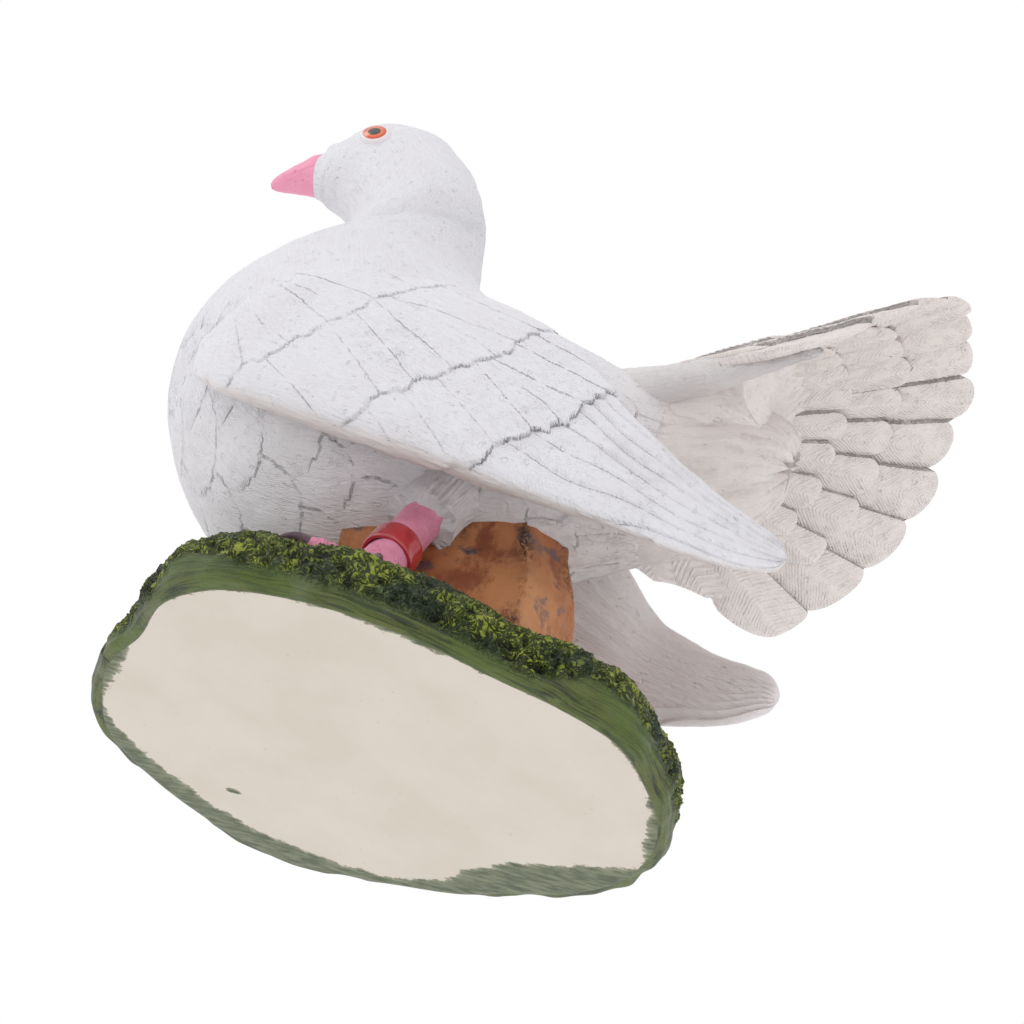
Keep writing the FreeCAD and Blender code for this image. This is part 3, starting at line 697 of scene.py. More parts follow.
def build_wing(name, sign, node):
    rows, cols = 310, 300
    table = resample(WING_STATIONS, rows)
    # two thirds of the columns go to the outer face
    share = np.arange(cols) / cols
    angle = np.where(share < 0.66, share / 0.66 * TURN / 2, TURN / 2 + (share - 0.66) / 0.34 * TURN / 2)
    y, top_x, top_z, low_x, low_z, thick, shift = [column[:, None] for column in table.T]
    chord_x, chord_z = top_x - low_x, top_z - low_z
    chord_length = np.hypot(chord_x, chord_z)
    out_x, out_z = chord_z / chord_length, -chord_x / chord_length
    middle_x = (top_x + low_x) / 2 + out_x * shift
    middle_z = (top_z + low_z) / 2 + out_z * shift
    along_chord = -np.cos(angle)[None] / 2
    off = np.sin(angle)[None] * thick
    points = stack(middle_x + chord_x * along_chord + out_x * off, y + 0 * along_chord,
                   middle_z + chord_z * along_chord + out_z * off)
    normals = outward(points)
    chord = along_chord + 0.5 + 0 * y
    height, groove, side, length = wing_relief(points[..., 1], points[..., 2], chord)
    outer = ease(-0.05, 0.25, np.sin(angle))[None] + 0 * y
    shoulder = ease(-60, -92, points[..., 1])
    ends = ease(0, 14, np.arange(rows))[:, None] * ease(rows - 1, rows - 10, np.arange(rows))[:, None]
    texture = 0.22 * fractal(points * np.array([1, 0.45, 1]), 5, 3, 51) + 0.55 * fractal(points, 34, 2, 52)
    relief = (height * (1 - shoulder) * outer + texture) * ends
    inner_lane = chord * 8 + 0.4 * np.sin(points[..., 1] / 23) + 0.6 * noise(points / 18, 54)
    inner_lane = inner_lane - np.floor(inner_lane)
    inner = 1.3 * inner_lane * ease(1.0, 0.88, inner_lane) * (1 - outer) * ends
    points = points + normals * (relief + inner)[..., None]
    barb = outer * (1 - 0.75 * shoulder) * (0.35 + 0.65 * ease(-0.5, 0.6, fractal(points, 22, 2, 53)))
    # painted shade: edges between inner feathers and grooves of the outer face darkened, and a cream painted
    # shade over the whole inner face, which faces the body and down
    inner_groove = 0.35 * np.exp(-((inner_lane - 0.97) / 0.05) ** 2) * (1 - outer)
    wear_and_shade = stack(groove * outer * (1 - shoulder) * 0.32 + inner_groove, 0.85 * (1 - outer), barb * 0.8)
    vane = stack(side, length, 0.35 * np.exp(-(side / 0.5) ** 2) * outer * (1 - shoulder))
    long_way = points[..., 1] * 0.97 - points[..., 2] * 0.25
    cross_way = points[..., 2] * 0.97 + points[..., 1] * 0.25
    hair = stack(cross_way * 1.1, points[..., 0] * 0.6, long_way * 0.13)
    marks = {"vane": vane, "wear_and_shade": wear_and_shade, "hair": hair}
    make_tube(name, points, WING_WHITE, node, marks, sign, sign > 0)


# ---------------------------------------------------------------- tail

def fan_line(angle, radius_less):
    """Root and rim of the tail fan at angles from its top, in degrees. The left side is swept
    farther back than the right."""
    lean = np.radians(angle)
    side = (angle / 90.0) ** 2
    extra = side * (angle > 0)
    rim_radius = 79.0 + 3.0 * extra - radius_less
    full = side * (1 - side) * np.where(angle > 0, 14.0, 23.0)
    rim = stack(rim_radius * np.sin(lean), 155.0 - 57.0 * side + 14.0 * extra + full,
                125.0 + rim_radius * np.cos(lean))
    root_lean = lean * 0.6
    root_radius = 36.0 - radius_less
    root = stack(root_radius * np.sin(root_lean), 57.0 + 0 * angle, 127.0 + root_radius * np.cos(root_lean))
    return root, rim


def build_feather_row(name, count, half_sweep, share, inward, thickness, cols, rows, seed, depth):
    """A row of overlapping tail feathers as one thin curved shell with a scalloped rim."""
    lane = np.linspace(-0.475, count - 1 + 0.475, cols)
    angle = -half_sweep - 4.0 * (share > 0.9) + (2 * half_sweep + 4.0 * (share > 0.9)) * lane / (count - 1)
    index = np.clip(np.round(lane), 0, count - 1).astype(np.int64)
    side = np.clip((lane - index) * 2, -1.95, 1.95)
    vary = hashed(index, 0 * index, 5, seed) - 0.5
    outline = np.sqrt(np.clip(1 - (np.abs(side) / (1.06 + 0.9 * (np.abs(lane - index) > 0.51))) ** 2.4, 0, 1))
    last = np.clip(np.maximum(-lane, lane - count + 1) / 0.475, 0, 1)
    tip = share * (1 + 0.03 * vary) * (1 - depth * (1 - outline)) * (1 - 0.22 * last ** 2)
    root, rim = fan_line(angle, inward)
    t = np.linspace(0, 1, rows)[:, None] ** 0.85
    reach = t * tip[None]
    centre = root[None] + (rim - root)[None] * reach[..., None]
    normals = grid_normals(centre, False)
    if np.sum(normals[..., 2]) < 0:
        normals = -normals
    blade = np.linalg.norm(rim - root, axis=-1)[None] * reach
    width = 0.5 * 13.5 * (0.45 + 0.75 * reach)
    across = side[None] * width
    # the fan is hollow below, and each feather lies over its outer neighbour
    hollow = 0.8 * ease(0.75, 1.0, reach) + 0.6 * np.sin(np.clip(reach, 0, 1) * math.pi)
    outer_side = np.sign(angle)[None] * side[None]
    lap = 0.95 * outer_side * ease(0.05, 0.4, t) - 0.9 * (1 - side[None] ** 2) * t
    centre = centre + normals * (hollow + lap)[..., None]
    end = np.sqrt(np.clip(1 - t ** 12, 0, 1))
    brink = ease(1.0, 1.6, np.abs(side))
    slim = thickness * (1 - 0.3 * t) * (0.30 + 0.70 * end) * (1 + 0.35 * brink)[None]
    slim = slim * (0.25 + 0.75 * np.sqrt(np.clip(1 - (np.abs(side) / 1.96) ** 6, 0, 1)))[None]
    shaft = np.exp(-(across / (0.85 - 0.4 * t)) ** 2) * ease(1.0, 0.85, t) * (1 - brink)[None]
    ridge = 0.55 * shaft
    rough = 0.35 * fractal(centre * np.array([1, 0.6, 1]), 8, 3, seed)
    split = np.exp(-((np.abs(side[None]) - 1) / 0.07) ** 2) * (1 - brink)[None]
    slant = blade - 0.9 * np.abs(across) ** 1.15
    carved = 0.22 * np.sin(slant * TURN / 2.7 + 2.5 * noise(centre / 9, seed + 3))
    carved = carved * ease(0.08, 0.25, np.abs(side))[None] * ease(1.0, 0.95, t)
    carved = carved * (0.35 + 0.65 * ease(-0.6, 0.4, noise(centre / 13, seed + 4)))
    raised = ridge + rough + carved - 0.35 * split
    lower = centre - normals * (slim / 2 + raised)[..., None]
    upper = centre + normals * (slim / 2 + raised)[..., None]
    verts = np.concatenate([lower.reshape(-1, 3), upper.reshape(-1, 3)])
    total = rows * cols
    faces = [grid_faces(rows, cols, False), grid_faces(rows, cols, False, True, total)]
    low = np.arange(total).reshape(rows, cols)
    for line in (low[0][::-1], low[-1], low[:, 0], low[:, -1][::-1]):
        faces.append(np.stack([line[:-1], line[1:], line[1:] + total, line[:-1] + total], -1))
    faces = np.concatenate(faces)
    # painted shade in the splits between feathers and beside the raised shaft
    dark = split * 0.16 * ease(0.0, 0.4, t) + 0.16 * np.exp(-((np.abs(across) - 1.0) / 0.4) ** 2)
    dark = dark * ease(-0.5, 0.6, fractal(centre, 9, 2, seed + 6))
    # cream painted shade over the fan, stronger or weaker at random per feather
    tint = 0.55 + 0.45 * hashed(index, 0 * index, 6, seed)
    wear_and_shade = stack(dark, tint[None] + 0 * t, (0.9 - 0.85 * brink)[None] + 0 * t)
    vane = stack(across, blade, shaft * 0.3)
    hair = stack(across * 0.9, angle[None] * 0.5 + 0 * t, blade * 0.13)
    marks = {key: np.concatenate([value.reshape(-1, 3)] * 2) for key, value in
             (("wear_and_shade", wear_and_shade), ("vane", vane), ("hair", hair))}
    make_piece(name, verts, faces, TAIL_WHITE, "tail_fan", marks)


def build_tail_root():
    """Hair-like feathers that fill the corner between the fan and the cone beneath it."""
    rows, cols = 110, 560
    sweep = np.linspace(-1.7, 1.7, cols)
    # past its edges the surface folds down beside the cone to the root
    fold = np.clip((np.abs(sweep) - 1) / 0.7, 0, 1)
    angle = 84.0 * np.clip(sweep, -1, 1)
    root, rim = fan_line(angle, 3.5)
    share = (0.50 + 0.02 * np.sin(angle / 7.0) ) * (1 - fold)
    high = root + (rim - root) * share[:, None]
    lean = np.radians(angle + 34.0 * np.sign(sweep) * fold)
    radius = 17.0 + 11.5 * fold
    low = stack(radius * np.sin(lean), 97.0 - 40.0 * fold, 141.0 - 13.0 * fold + radius * np.cos(lean))
    deep = (high + low) / 2 + (root - high) * 0.26
    t = np.linspace(0, 1, rows)[:, None, None]
    points = (1 - t) ** 2 * high + 2 * t * (1 - t) * deep + t ** 2 * low
    normals = grid_normals(points, False)
    if np.sum(normals[..., 2]) > 0:
        normals = -normals
    along = run_length(points)
    bend = points + 4.0 * np.stack([noise(points / 16, k) for k in (203, 204, 205)], -1)
    strands = fractal(bend * np.array([0.5, 0.07, 0.5]), 1.0, 3, 201)
    relief = 0.4 * strands + 0.8 * fractal(points, 15, 2, 202)
    points = points + normals * relief[..., None]
    # painted shade in the dips between strands, and a fixed cream painted shade
    wear_and_shade = stack(ease(0.1, -0.9, strands) * 0.3, 0.55 + 0 * strands, 0.1 + 0 * strands)
    vane = stack(angle[None] * 0.5, along, 0.0 * along)
    hair = bend * np.array([0.9, 0.15, 0.9])
    marks = {"vane": vane, "wear_and_shade": wear_and_shade, "hair": hair}
    make_piece("tail_root_feathers", points, grid_faces(rows, cols, False), TAIL_WHITE, "tail_fan",
               marks)


def build_rump():
    """Smooth swelling of small feathers over the rump from which the fan spreads."""
    rows, cols = 130, 200
    polar = np.linspace(0.02, math.pi - 0.02, rows)[:, None]
    angle = (np.arange(cols) / cols * TURN)[None]
    points = stack(28.0 * np.sin(polar) * np.sin(angle), 60.0 - 25.0 * np.cos(polar),
                   138.0 + 30.0 * np.sin(polar) * np.cos(angle))
    turn = np.broadcast_to(angle, (rows, cols))
    normals = outward(points)
    along = run_length(points)
    strands = fractal(stack(np.sin(turn) * 13, np.cos(turn) * 13, along * 0.06), 1.0, 3, 61)
    points = points + normals * (0.5 * strands - 0.4 + 0.8 * fractal(points, 12, 3, 62))[..., None]
    # painted shade in the dips between strands, and cream painted shade toward the tail and underneath
    marks = tuft_marks(points, turn, along, ease(0.1, -0.9, strands) * 0.25, shade_warmth(points), 0.1, 30, 1.3)
    make_tube("rump_feathers", points, TAIL_WHITE, "tail_fan", marks)


def build_fan_edge(name, angle, radius):
    """Smooth thick rim down one side of the fan, rising out of the back."""
    rows, cols = 160, 96
    share = np.linspace(-0.42, 0.93, rows)
    root, rim = fan_line(np.array([angle]), 2.6)
    path = root + (rim - root) * share[:, None]
    radii = radius * (1.25 - 0.45 * ease(-0.3, 0.2, share) - 0.50 * ease(0.2, 0.93, share))
    radii = radii * np.sqrt(np.clip((0.935 - share) / 0.06, 0.01, 1))
    points, turn = tube_along(path, radii, cols)
    turn = np.broadcast_to(turn, (rows, cols))
    along = run_length(points)
    normals = outward(points)
    points = points + normals * (0.6 * fractal(points, 13, 3, 64))[..., None]
    # a faint fixed cream painted shade, no crease shade
    marks = tuft_marks(points, turn, along, 0.0, 0.25, 0.1, 6.0, 1.2)
    make_tube(name, points, TAIL_WHITE, "tail_fan", marks)


def build_fan_web():
    """Short feathers that close the lower right side of the fan against the body."""
    rows, cols = 120, 240
    past = np.linspace(0, 1, cols)
    angle = -83.0 - 29.0 * past
    root, rim = fan_line(angle, 1.0)
    share = (0.91 - 0.53 * past ** 0.8) * (1 - 0.05 * np.abs(np.sin(past * math.pi * 2.5)))
    t = np.linspace(0, 1, rows)[:, None]
    points = root[None] + ((rim - root) * share[:, None])[None] * t[..., None]
    normals = grid_normals(points, False)
    along = run_length(points)
    lane = (past * 2.5 + 0.5) % 1 - 0.5
    across = lane[None] * 13.0 * (0.4 + 0.6 * t)
    relief = 0.4 * fractal(points, 9, 3, 65) + 0.2 * np.sin((along - 0.9 * np.abs(across)) * TURN / 2.7)
    points = points + normals * relief[..., None]
    # a fixed cream painted shade, no crease shade
    wear_and_shade = stack(0.0, 0.6, 0.8 + 0 * along)
    marks = {"vane": stack(across, along, 0.0), "wear_and_shade": wear_and_shade, "hair": points * np.array([0.9, 0.15, 0.9])}
    make_piece("fan_lower_feathers", points, grid_faces(rows, cols, False), TAIL_WHITE, "tail_fan",
               marks)


# ---------------------------------------------------------------- head parts

def build_beak():
    stations = np.array([(-102.5, 243.4, 8.6, 8.3), (-106.2, 241.6, 8.3, 8.0), (-110.5, 239.4, 6.7, 6.4),
                         (-114.5, 237.4, 5.2, 4.9), (-118.0, 235.4, 3.8, 3.6), (-120.4, 233.9, 2.5, 2.4),
                         (-121.8, 233.0, 0.9, 0.9)])
    rows, cols = 90, 120
    table = resample(stations, rows)
    angle = (np.arange(cols) / cols * TURN)[None]
    aim = np.array([0, -15.0, -8.0]) / 17.0
    depth_way = np.array([0, -aim[2], aim[1]]) * -1
    y, z, half_depth, half_width = [column[:, None] for column in table.T]
    up = np.cos(angle) * half_depth
    up = np.where(up > 0, up * 1.05, up * 0.97)
    points = stack(np.sin(angle) * half_width, y + up * depth_way[1], z + up * depth_way[2])
    normals = outward(points)
    toward_root = ease(rows, rows * 0.5, np.arange(rows))[:, None]
    gape = -0.28 * np.exp(-((np.cos(angle) + 0.22) / 0.05) ** 2) * toward_root
    relief = gape + 0.18 * fractal(points, 4, 3, 71)
    points = points + normals * relief[..., None]
    make_tube("beak_bill", points, PINK, "beak")


def build_eye(name, sign, node, body_points, body_normals):
    """A domed painted eye laid on the head where the CAD puts it, with a pale lid round it."""
    target = np.array([19.6, -82.0, 249.6])
    flat = body_points.reshape(-1, 3)
    nearest = np.argmin(np.linalg.norm(flat - target, axis=1))
    at, out = flat[nearest], body_normals.reshape(-1, 3)[nearest]
    out = out / np.linalg.norm(out)
    level = np.cross(out, np.array([0.0, 0.15, 1.0]))
    level = level / np.linalg.norm(level)
    rise = np.cross(level, out)
    rows, cols = 40, 64
    ring = np.linspace(0, 1.32, rows)[:, None]
    angle = (np.arange(cols) / cols * TURN)[None]
    dome = 1.15 * np.sqrt(np.clip(1 - (ring / 1.12) ** 2, 0, 1)) + 0.45 * np.exp(-((ring - 1.14) / 0.09) ** 2)
    dome = dome - 1.6 * ease(1.18, 1.32, ring) - 0.05
    flat_ring = np.cos(angle)[..., None] * level * 4.7 + np.sin(angle)[..., None] * rise * 4.0
    flat_ring = flat_ring * ring[..., None]
    points = at + flat_ring + (dome + 0 * angle)[..., None] * out
    points = points * np.array([sign, 1, 1])
    faces = grid_faces(rows, cols, True, sign > 0)
    marks = {"ring": stack(ring + 0 * angle, 0.0, 0.0)}
    make_piece(name, points, faces, EYE, node, marks)


# ---------------------------------------------------------------- legs

LEG_TOP = np.array([20.0, 1.0, 94.0])
LEG_FOOT = np.array([49.0, -3.5, 31.0])
LEG_AXIS = (LEG_FOOT - LEG_TOP) / np.linalg.norm(LEG_FOOT - LEG_TOP)
BALL = np.array([49.0, -3.5, 30.5])
# Toes: heading in degrees, length, how far the tip sinks into the moss.
TOES = ((34.0, 22.0, 0.6), (-14.0, 19.0, 0.6), (112.0, 13.0, 2.5), (196.0, 13.0, 11.0))


def tube_along(path, radii, cols):
    """Round tube through path points (rows, 3) with a radius at each."""
    tangent = np.gradient(path, axis=0)
    tangent = tangent / np.linalg.norm(tangent, axis=1, keepdims=True)
    guide = np.array([0.0, 0.15, 1.0] if abs(tangent[0, 2]) < 0.8 else [0.0, 1.0, 0.0])
    side = np.cross(tangent, guide)
    side = side / np.linalg.norm(side, axis=1, keepdims=True)
    lift = np.cross(side, tangent)
    angle = np.arange(cols) / cols * TURN
    return (path[:, None] + radii[:, None, None] * (np.cos(angle)[None, :, None] * side[:, None]
                                                   + np.sin(angle)[None, :, None] * lift[:, None])), angle


def build_leg(side, sign):
    rows, cols = 120, 96
    t = np.linspace(0.16, 1.0, rows)
    path = LEG_TOP + (LEG_FOOT - LEG_TOP) * t[:, None]
    radii = 7.1 + 0.7 * ease(0.45, 0.20, t) + 0.4 * ease(0.85, 1.0, t) + 0.2 * np.sin(t * 9)
    points, angle = tube_along(path, radii, cols)
    normals = outward(points)
    plates = np.sin(t * 95)[:, None] * ease(-0.2, 0.6, np.cos(angle - 3.6))[None]
    relief = 0.28 * plates + 0.5 * fractal(points, 6, 3, 81)
    points = points + normals * relief[..., None]
    make_tube(side + "_shank", points, SKIN, side + "_leg", None, sign, sign < 0)


def build_thigh(side, sign):
    """Feathered thigh that widens out of the belly and ends in a ragged cuff round the shank."""
    rows, cols = 120, 200
    t = np.linspace(-0.28, 0.41, rows)
    path = LEG_TOP + (LEG_FOOT - LEG_TOP) * t[:, None]
    cuff = ease(0.20, 0.41, t)
    radii = (21.0 - 10.6 * ease(-0.2, 0.34, t) + 1.4 * cuff) * np.sqrt(np.clip((t + 0.285) / 0.12, 0, 1))
    points, angle = tube_along(path, radii, cols)
    turn = np.broadcast_to(angle, (rows, cols))
    normals = outward(points)
    along = run_length(points)
    strands = fractal(stack(np.sin(turn) * 8, np.cos(turn) * 8, along * 0.07), 1.0, 3, 83)
    ragged = noise(stack(np.sin(angle) * 3, np.cos(angle) * 3, 0.0), 86)[None]
    points = points + normals * (0.5 * strands + 0.7 * fractal(points, 8, 3, 84))[..., None]
    points = points + LEG_AXIS * (3.0 * ragged * cuff[:, None])[..., None]
    # painted shade in the dips between strands, and cream painted shade toward the tail and underneath
    dark = ease(0.1, -0.9, strands) * 0.25
    marks = tuft_marks(points, turn, along, dark, 0.25 + 0.3 * shade_warmth(points), 0.1, 9.0, 1.4)
    make_tube(side + "_thigh_feathers", points, WHITE, side + "_thigh", marks,
              sign, sign < 0)


def build_foot(side, sign):
    rows, cols = 60, 56

    def put(part, points, material):
        make_tube("%s_%s" % (side, part), points, material, side + "_foot", None, sign, sign < 0)

    polar = np.linspace(0.03, math.pi - 0.03, rows)[:, None]
    angle = (np.arange(cols) / cols * TURN)[None]
    around = stack(np.sin(polar) * np.cos(angle), np.sin(polar) * np.sin(angle), np.cos(polar))
    put("foot_ball", BALL + around * np.array([7.6, 7.6, 5.6]), SKIN)
    t = np.linspace(0, 1, rows)
    for number, (heading, length, sink) in enumerate(TOES, 1):
        turn = math.radians(heading)
        ahead = np.array([math.sin(turn), -math.cos(turn), 0.0])
        path = BALL + ahead * (length * t)[:, None]
        path[:, 2] += 1.6 * np.sin(t * math.pi) - sink * t
        radii = 4.6 - 1.1 * t + 0.35 * np.abs(np.sin(t * math.pi * 3)) - 0.2
        radii = radii * np.sqrt(np.clip(1 - ((t - 0.86) / 0.15).clip(0, 1) ** 2, 0.02, 1))
        points, _ = tube_along(path, radii, cols)
        wrinkles = 0.22 * np.sin(t * 42)[:, None] + 0.2 * fractal(points, 4, 2, 85)
        put("toe_%d" % number, points + outward(points) * wrinkles[..., None], SKIN)
        path = BALL + ahead * (length + 9.5 * t - 1.5)[:, None]
        path[:, 2] += 1.4 - sink + 1.0 * np.sin(t * math.pi * 0.8) - 3.6 * t ** 2
        points, _ = tube_along(path, 2.1 * (1 - t) ** 0.75 + 0.25, cols)
        put("claw_%d" % number, points, CLAW)


def build_ring():
    rows, cols = 64, 120
    level = np.cross(LEG_AXIS, np.array([0.0, 1.0, 0.0]))
    level = level / np.linalg.norm(level)
    other = np.cross(LEG_AXIS, level)
    centre = LEG_TOP + (LEG_FOOT - LEG_TOP) * 0.73
    spin = np.linspace(0, TURN, rows, endpoint=False)[:, None]
    angle = (np.arange(cols) / cols * TURN)[None]
    flat = np.sign(np.sin(spin)) * np.abs(np.sin(spin)) ** 0.35 * 4.9
    thick = np.sign(np.cos(spin)) * np.abs(np.cos(spin)) ** 0.6 * 0.9
    radius = 7.9 + thick + 0.12 * np.sin(angle * 2)
    wheel = stack(radius * np.cos(angle), radius * np.sin(angle), flat)
    points = centre + wheel @ np.array([level, other, LEG_AXIS])
    first = np.arange(cols)
    after = (first + 1) % cols
    last = (rows - 1) * cols
    closing = np.stack([last + first, last + after, after, first], -1)
    faces = np.concatenate([grid_faces(rows, cols, True), closing])
    make_piece("leg_band", points, faces, RING, "leg_ring")


# ---------------------------------------------------------------- rock

ROCK_SLICES = (
    (20.0, ((30.0, -28.0), (36.0, 8.0), (33.0, 42.0), (8.0, 56.0), (-20.0, 54.0), (-36.0, 32.0),
            (-34.0, -8.0), (-8.0, -36.0))),
    (60.0, ((22.0, -28.0), (27.0, 8.0), (27.0, 37.5), (7.0, 51.0), (-16.0, 48.0), (-28.0, 30.0),
            (-24.0, -8.0), (-6.0, -31.0))),
    (92.0, ((17.0, -28.0), (21.0, 8.0), (20.0, 28.0), (5.0, 40.0), (-12.0, 38.0), (-19.0, 24.0),
            (-16.0, -6.0), (-4.0, -31.0))),
)


def build_rock():
    """Faceted stone: smooth broken faces, curly worn edges."""
    rows, per_side = 190, 30
    heights = np.array([s[0] for s in ROCK_SLICES])
    outlines = []
    steps = np.linspace(0, 1, per_side, endpoint=False)[:, None]
    for _, corners in ROCK_SLICES:
        ring = np.array(corners, float)
        sides = zip(ring, np.roll(ring, -1, 0))
        outlines.append(np.concatenate([a + (b - a) * steps for a, b in sides]))
    cols = len(outlines[0])
    z = np.linspace(heights[0], heights[-1], rows)
    points = np.zeros((rows, cols, 3))
    for axis in (0, 1):
        levels = np.stack([outline[:, axis] for outline in outlines])
        points[..., axis] = np.stack([np.interp(z, heights, levels[:, j]) for j in range(cols)], 1)
    points[..., 2] = z[:, None]
    normals = outward(points)
    facets = np.abs(noise(points / 26, 91)) * 5.0 - 1.5
    edge = np.abs(((np.arange(cols) % per_side) / per_side + 0.5) % 1 - 0.5)[None] * 2
    corner = ease(0.55, 0.12, edge) * ease(-0.5, 0.4, noise(points / 22, 92) + 0.3)
    corner = corner * (0.12 + 0.88 * ease(8, 24, np.abs(points[..., 2] - 56)))
    swirl = points + 3.0 * np.stack([noise(points / 5, s) for s in (93, 94, 95)], -1)
    worm = np.abs(noise(swirl / 2.6, 96))
    relief = -facets * 0.6 + 0.9 * fractal(points, 14, 4, 97) - corner * (1.0 + 1.7 * ease(0.35, 0.0, worm))
    points = points + normals * relief[..., None]
    make_tube("belly_rock", points, ROCK, "rock", {"wear_and_shade": stack(corner, 0.0, 0.0)})


# ---------------------------------------------------------------- base

BASE_OUTLINE = (
    (18.5, -82.0), (38.5, -67.5), (59.5, -55.5), (72.0, -38.0), (76.5, -14.0), (74.5, 8.0),
    (68.5, 28.0), (59.0, 48.0), (50.0, 68.0), (38.0, 84.0), (19.5, 91.5), (0.0, 95.0),
    (-22.5, 92.5), (-42.5, 82.5), (-58.5, 66.5), (-69.5, 44.0), (-79.5, 24.0), (-84.0, 2.0),
    (-86.5, -17.0), (-87.5, -38.5), (-78.5, -56.5), (-64.5, -71.5), (-46.0, -85.0),
    (-26.5, -92.5), (-5.0, -90.5),
)
# Where the green paint stops under the base, and a stray dab of it.
BARE_OUTLINE = (
    (73.0, -37.0), (77.0, -22.0), (76.0, 0.0), (71.0, 18.0), (65.0, 35.0), (58.0, 53.0), (52.0, 67.0),
    (43.0, 81.0), (30.0, 88.0), (17.0, 93.0), (3.0, 93.0), (-16.0, 91.0), (-32.0, 90.0), (-37.0, 76.0),
    (-42.0, 63.0), (-49.0, 45.0), (-59.0, 31.0), (-73.0, 19.0), (-80.0, 4.0), (-80.0, -14.0),
    (-76.0, -32.0), (-70.0, -48.0), (-60.0, -61.0), (-48.0, -72.0), (-34.0, -82.0), (-22.0, -89.0),
    (-8.0, -92.0), (8.0, -84.0), (25.0, -76.0), (45.0, -67.0), (58.0, -60.0), (67.0, -49.0),
)
DAB = (-46.0, -52.0)
# Wall from the underside up to the crown: height, how far out from the outline.
BASE_PROFILE = ((0.0, -13.0), (0.0, 0.0), (1.0, 2.6), (2.8, 4.2), (8.0, 5.0), (15.0, 3.4), (19.5, 0.6),
                (23.0, -4.0), (25.8, -9.5), (27.0, -16.0))


def smooth_ring(corners, count):
    """Closed smooth outline through the corners, evenly spaced."""
    ring = np.array(corners, float)
    padded = np.concatenate([ring[-3:], ring, ring[:4]])
    known = np.concatenate([[0], np.cumsum(np.linalg.norm(np.diff(padded, axis=0), axis=1))])
    start, end = known[3], known[3 + len(ring)]
    fine = hermite(known, padded, np.linspace(start, end, 3000))
    run = np.concatenate([[0], np.cumsum(np.linalg.norm(np.diff(fine, axis=0), axis=1))])
    even = np.linspace(0, run[-1], count, endpoint=False)
    return np.stack([np.interp(even, run, fine[:, k]) for k in (0, 1)], 1), even


def inside_distance(points, corners):
    """How far each point (x, y) lies inside a closed outline, negative outside."""
    ring = np.array(corners, float)
    nearest = np.full(points.shape[:-1], 1e9)
    inside = np.zeros(points.shape[:-1], bool)
    x, y = points[..., 0], points[..., 1]
    for a, b in zip(ring, np.roll(ring, -1, 0)):
        way = b - a
        t = np.clip(((x - a[0]) * way[0] + (y - a[1]) * way[1]) / (way @ way), 0, 1)
        nearest = np.minimum(nearest, np.hypot(x - a[0] - t * way[0], y - a[1] - t * way[1]))
        spans = (a[1] > y) != (b[1] > y)
        level = a[0] + (y - a[1]) / (way[1] if abs(way[1]) > 1e-6 else 1e-6) * way[0]
        inside ^= spans & (x < level)
    return np.where(inside, nearest, -nearest)


def moss_height(points, seed):
    """Curly tufts of moss, and a mask of the pits between them for painted shade."""
    swirl = points + 2.0 * np.stack([noise(points / 4.0, seed + k) for k in (1, 2, 3)], -1)
    tuft = 1 - np.abs(noise(swirl / 3.6, seed + 4)) * 2.2
    small = 1 - np.abs(noise(swirl / 1.7, seed + 5)) * 2.0
    big = noise(points / 11.0, seed + 6)
    return 1.2 * tuft + 0.7 * small + 1.0 * big - 0.7, ease(0.1, -0.5, tuft + 0.35 * small)


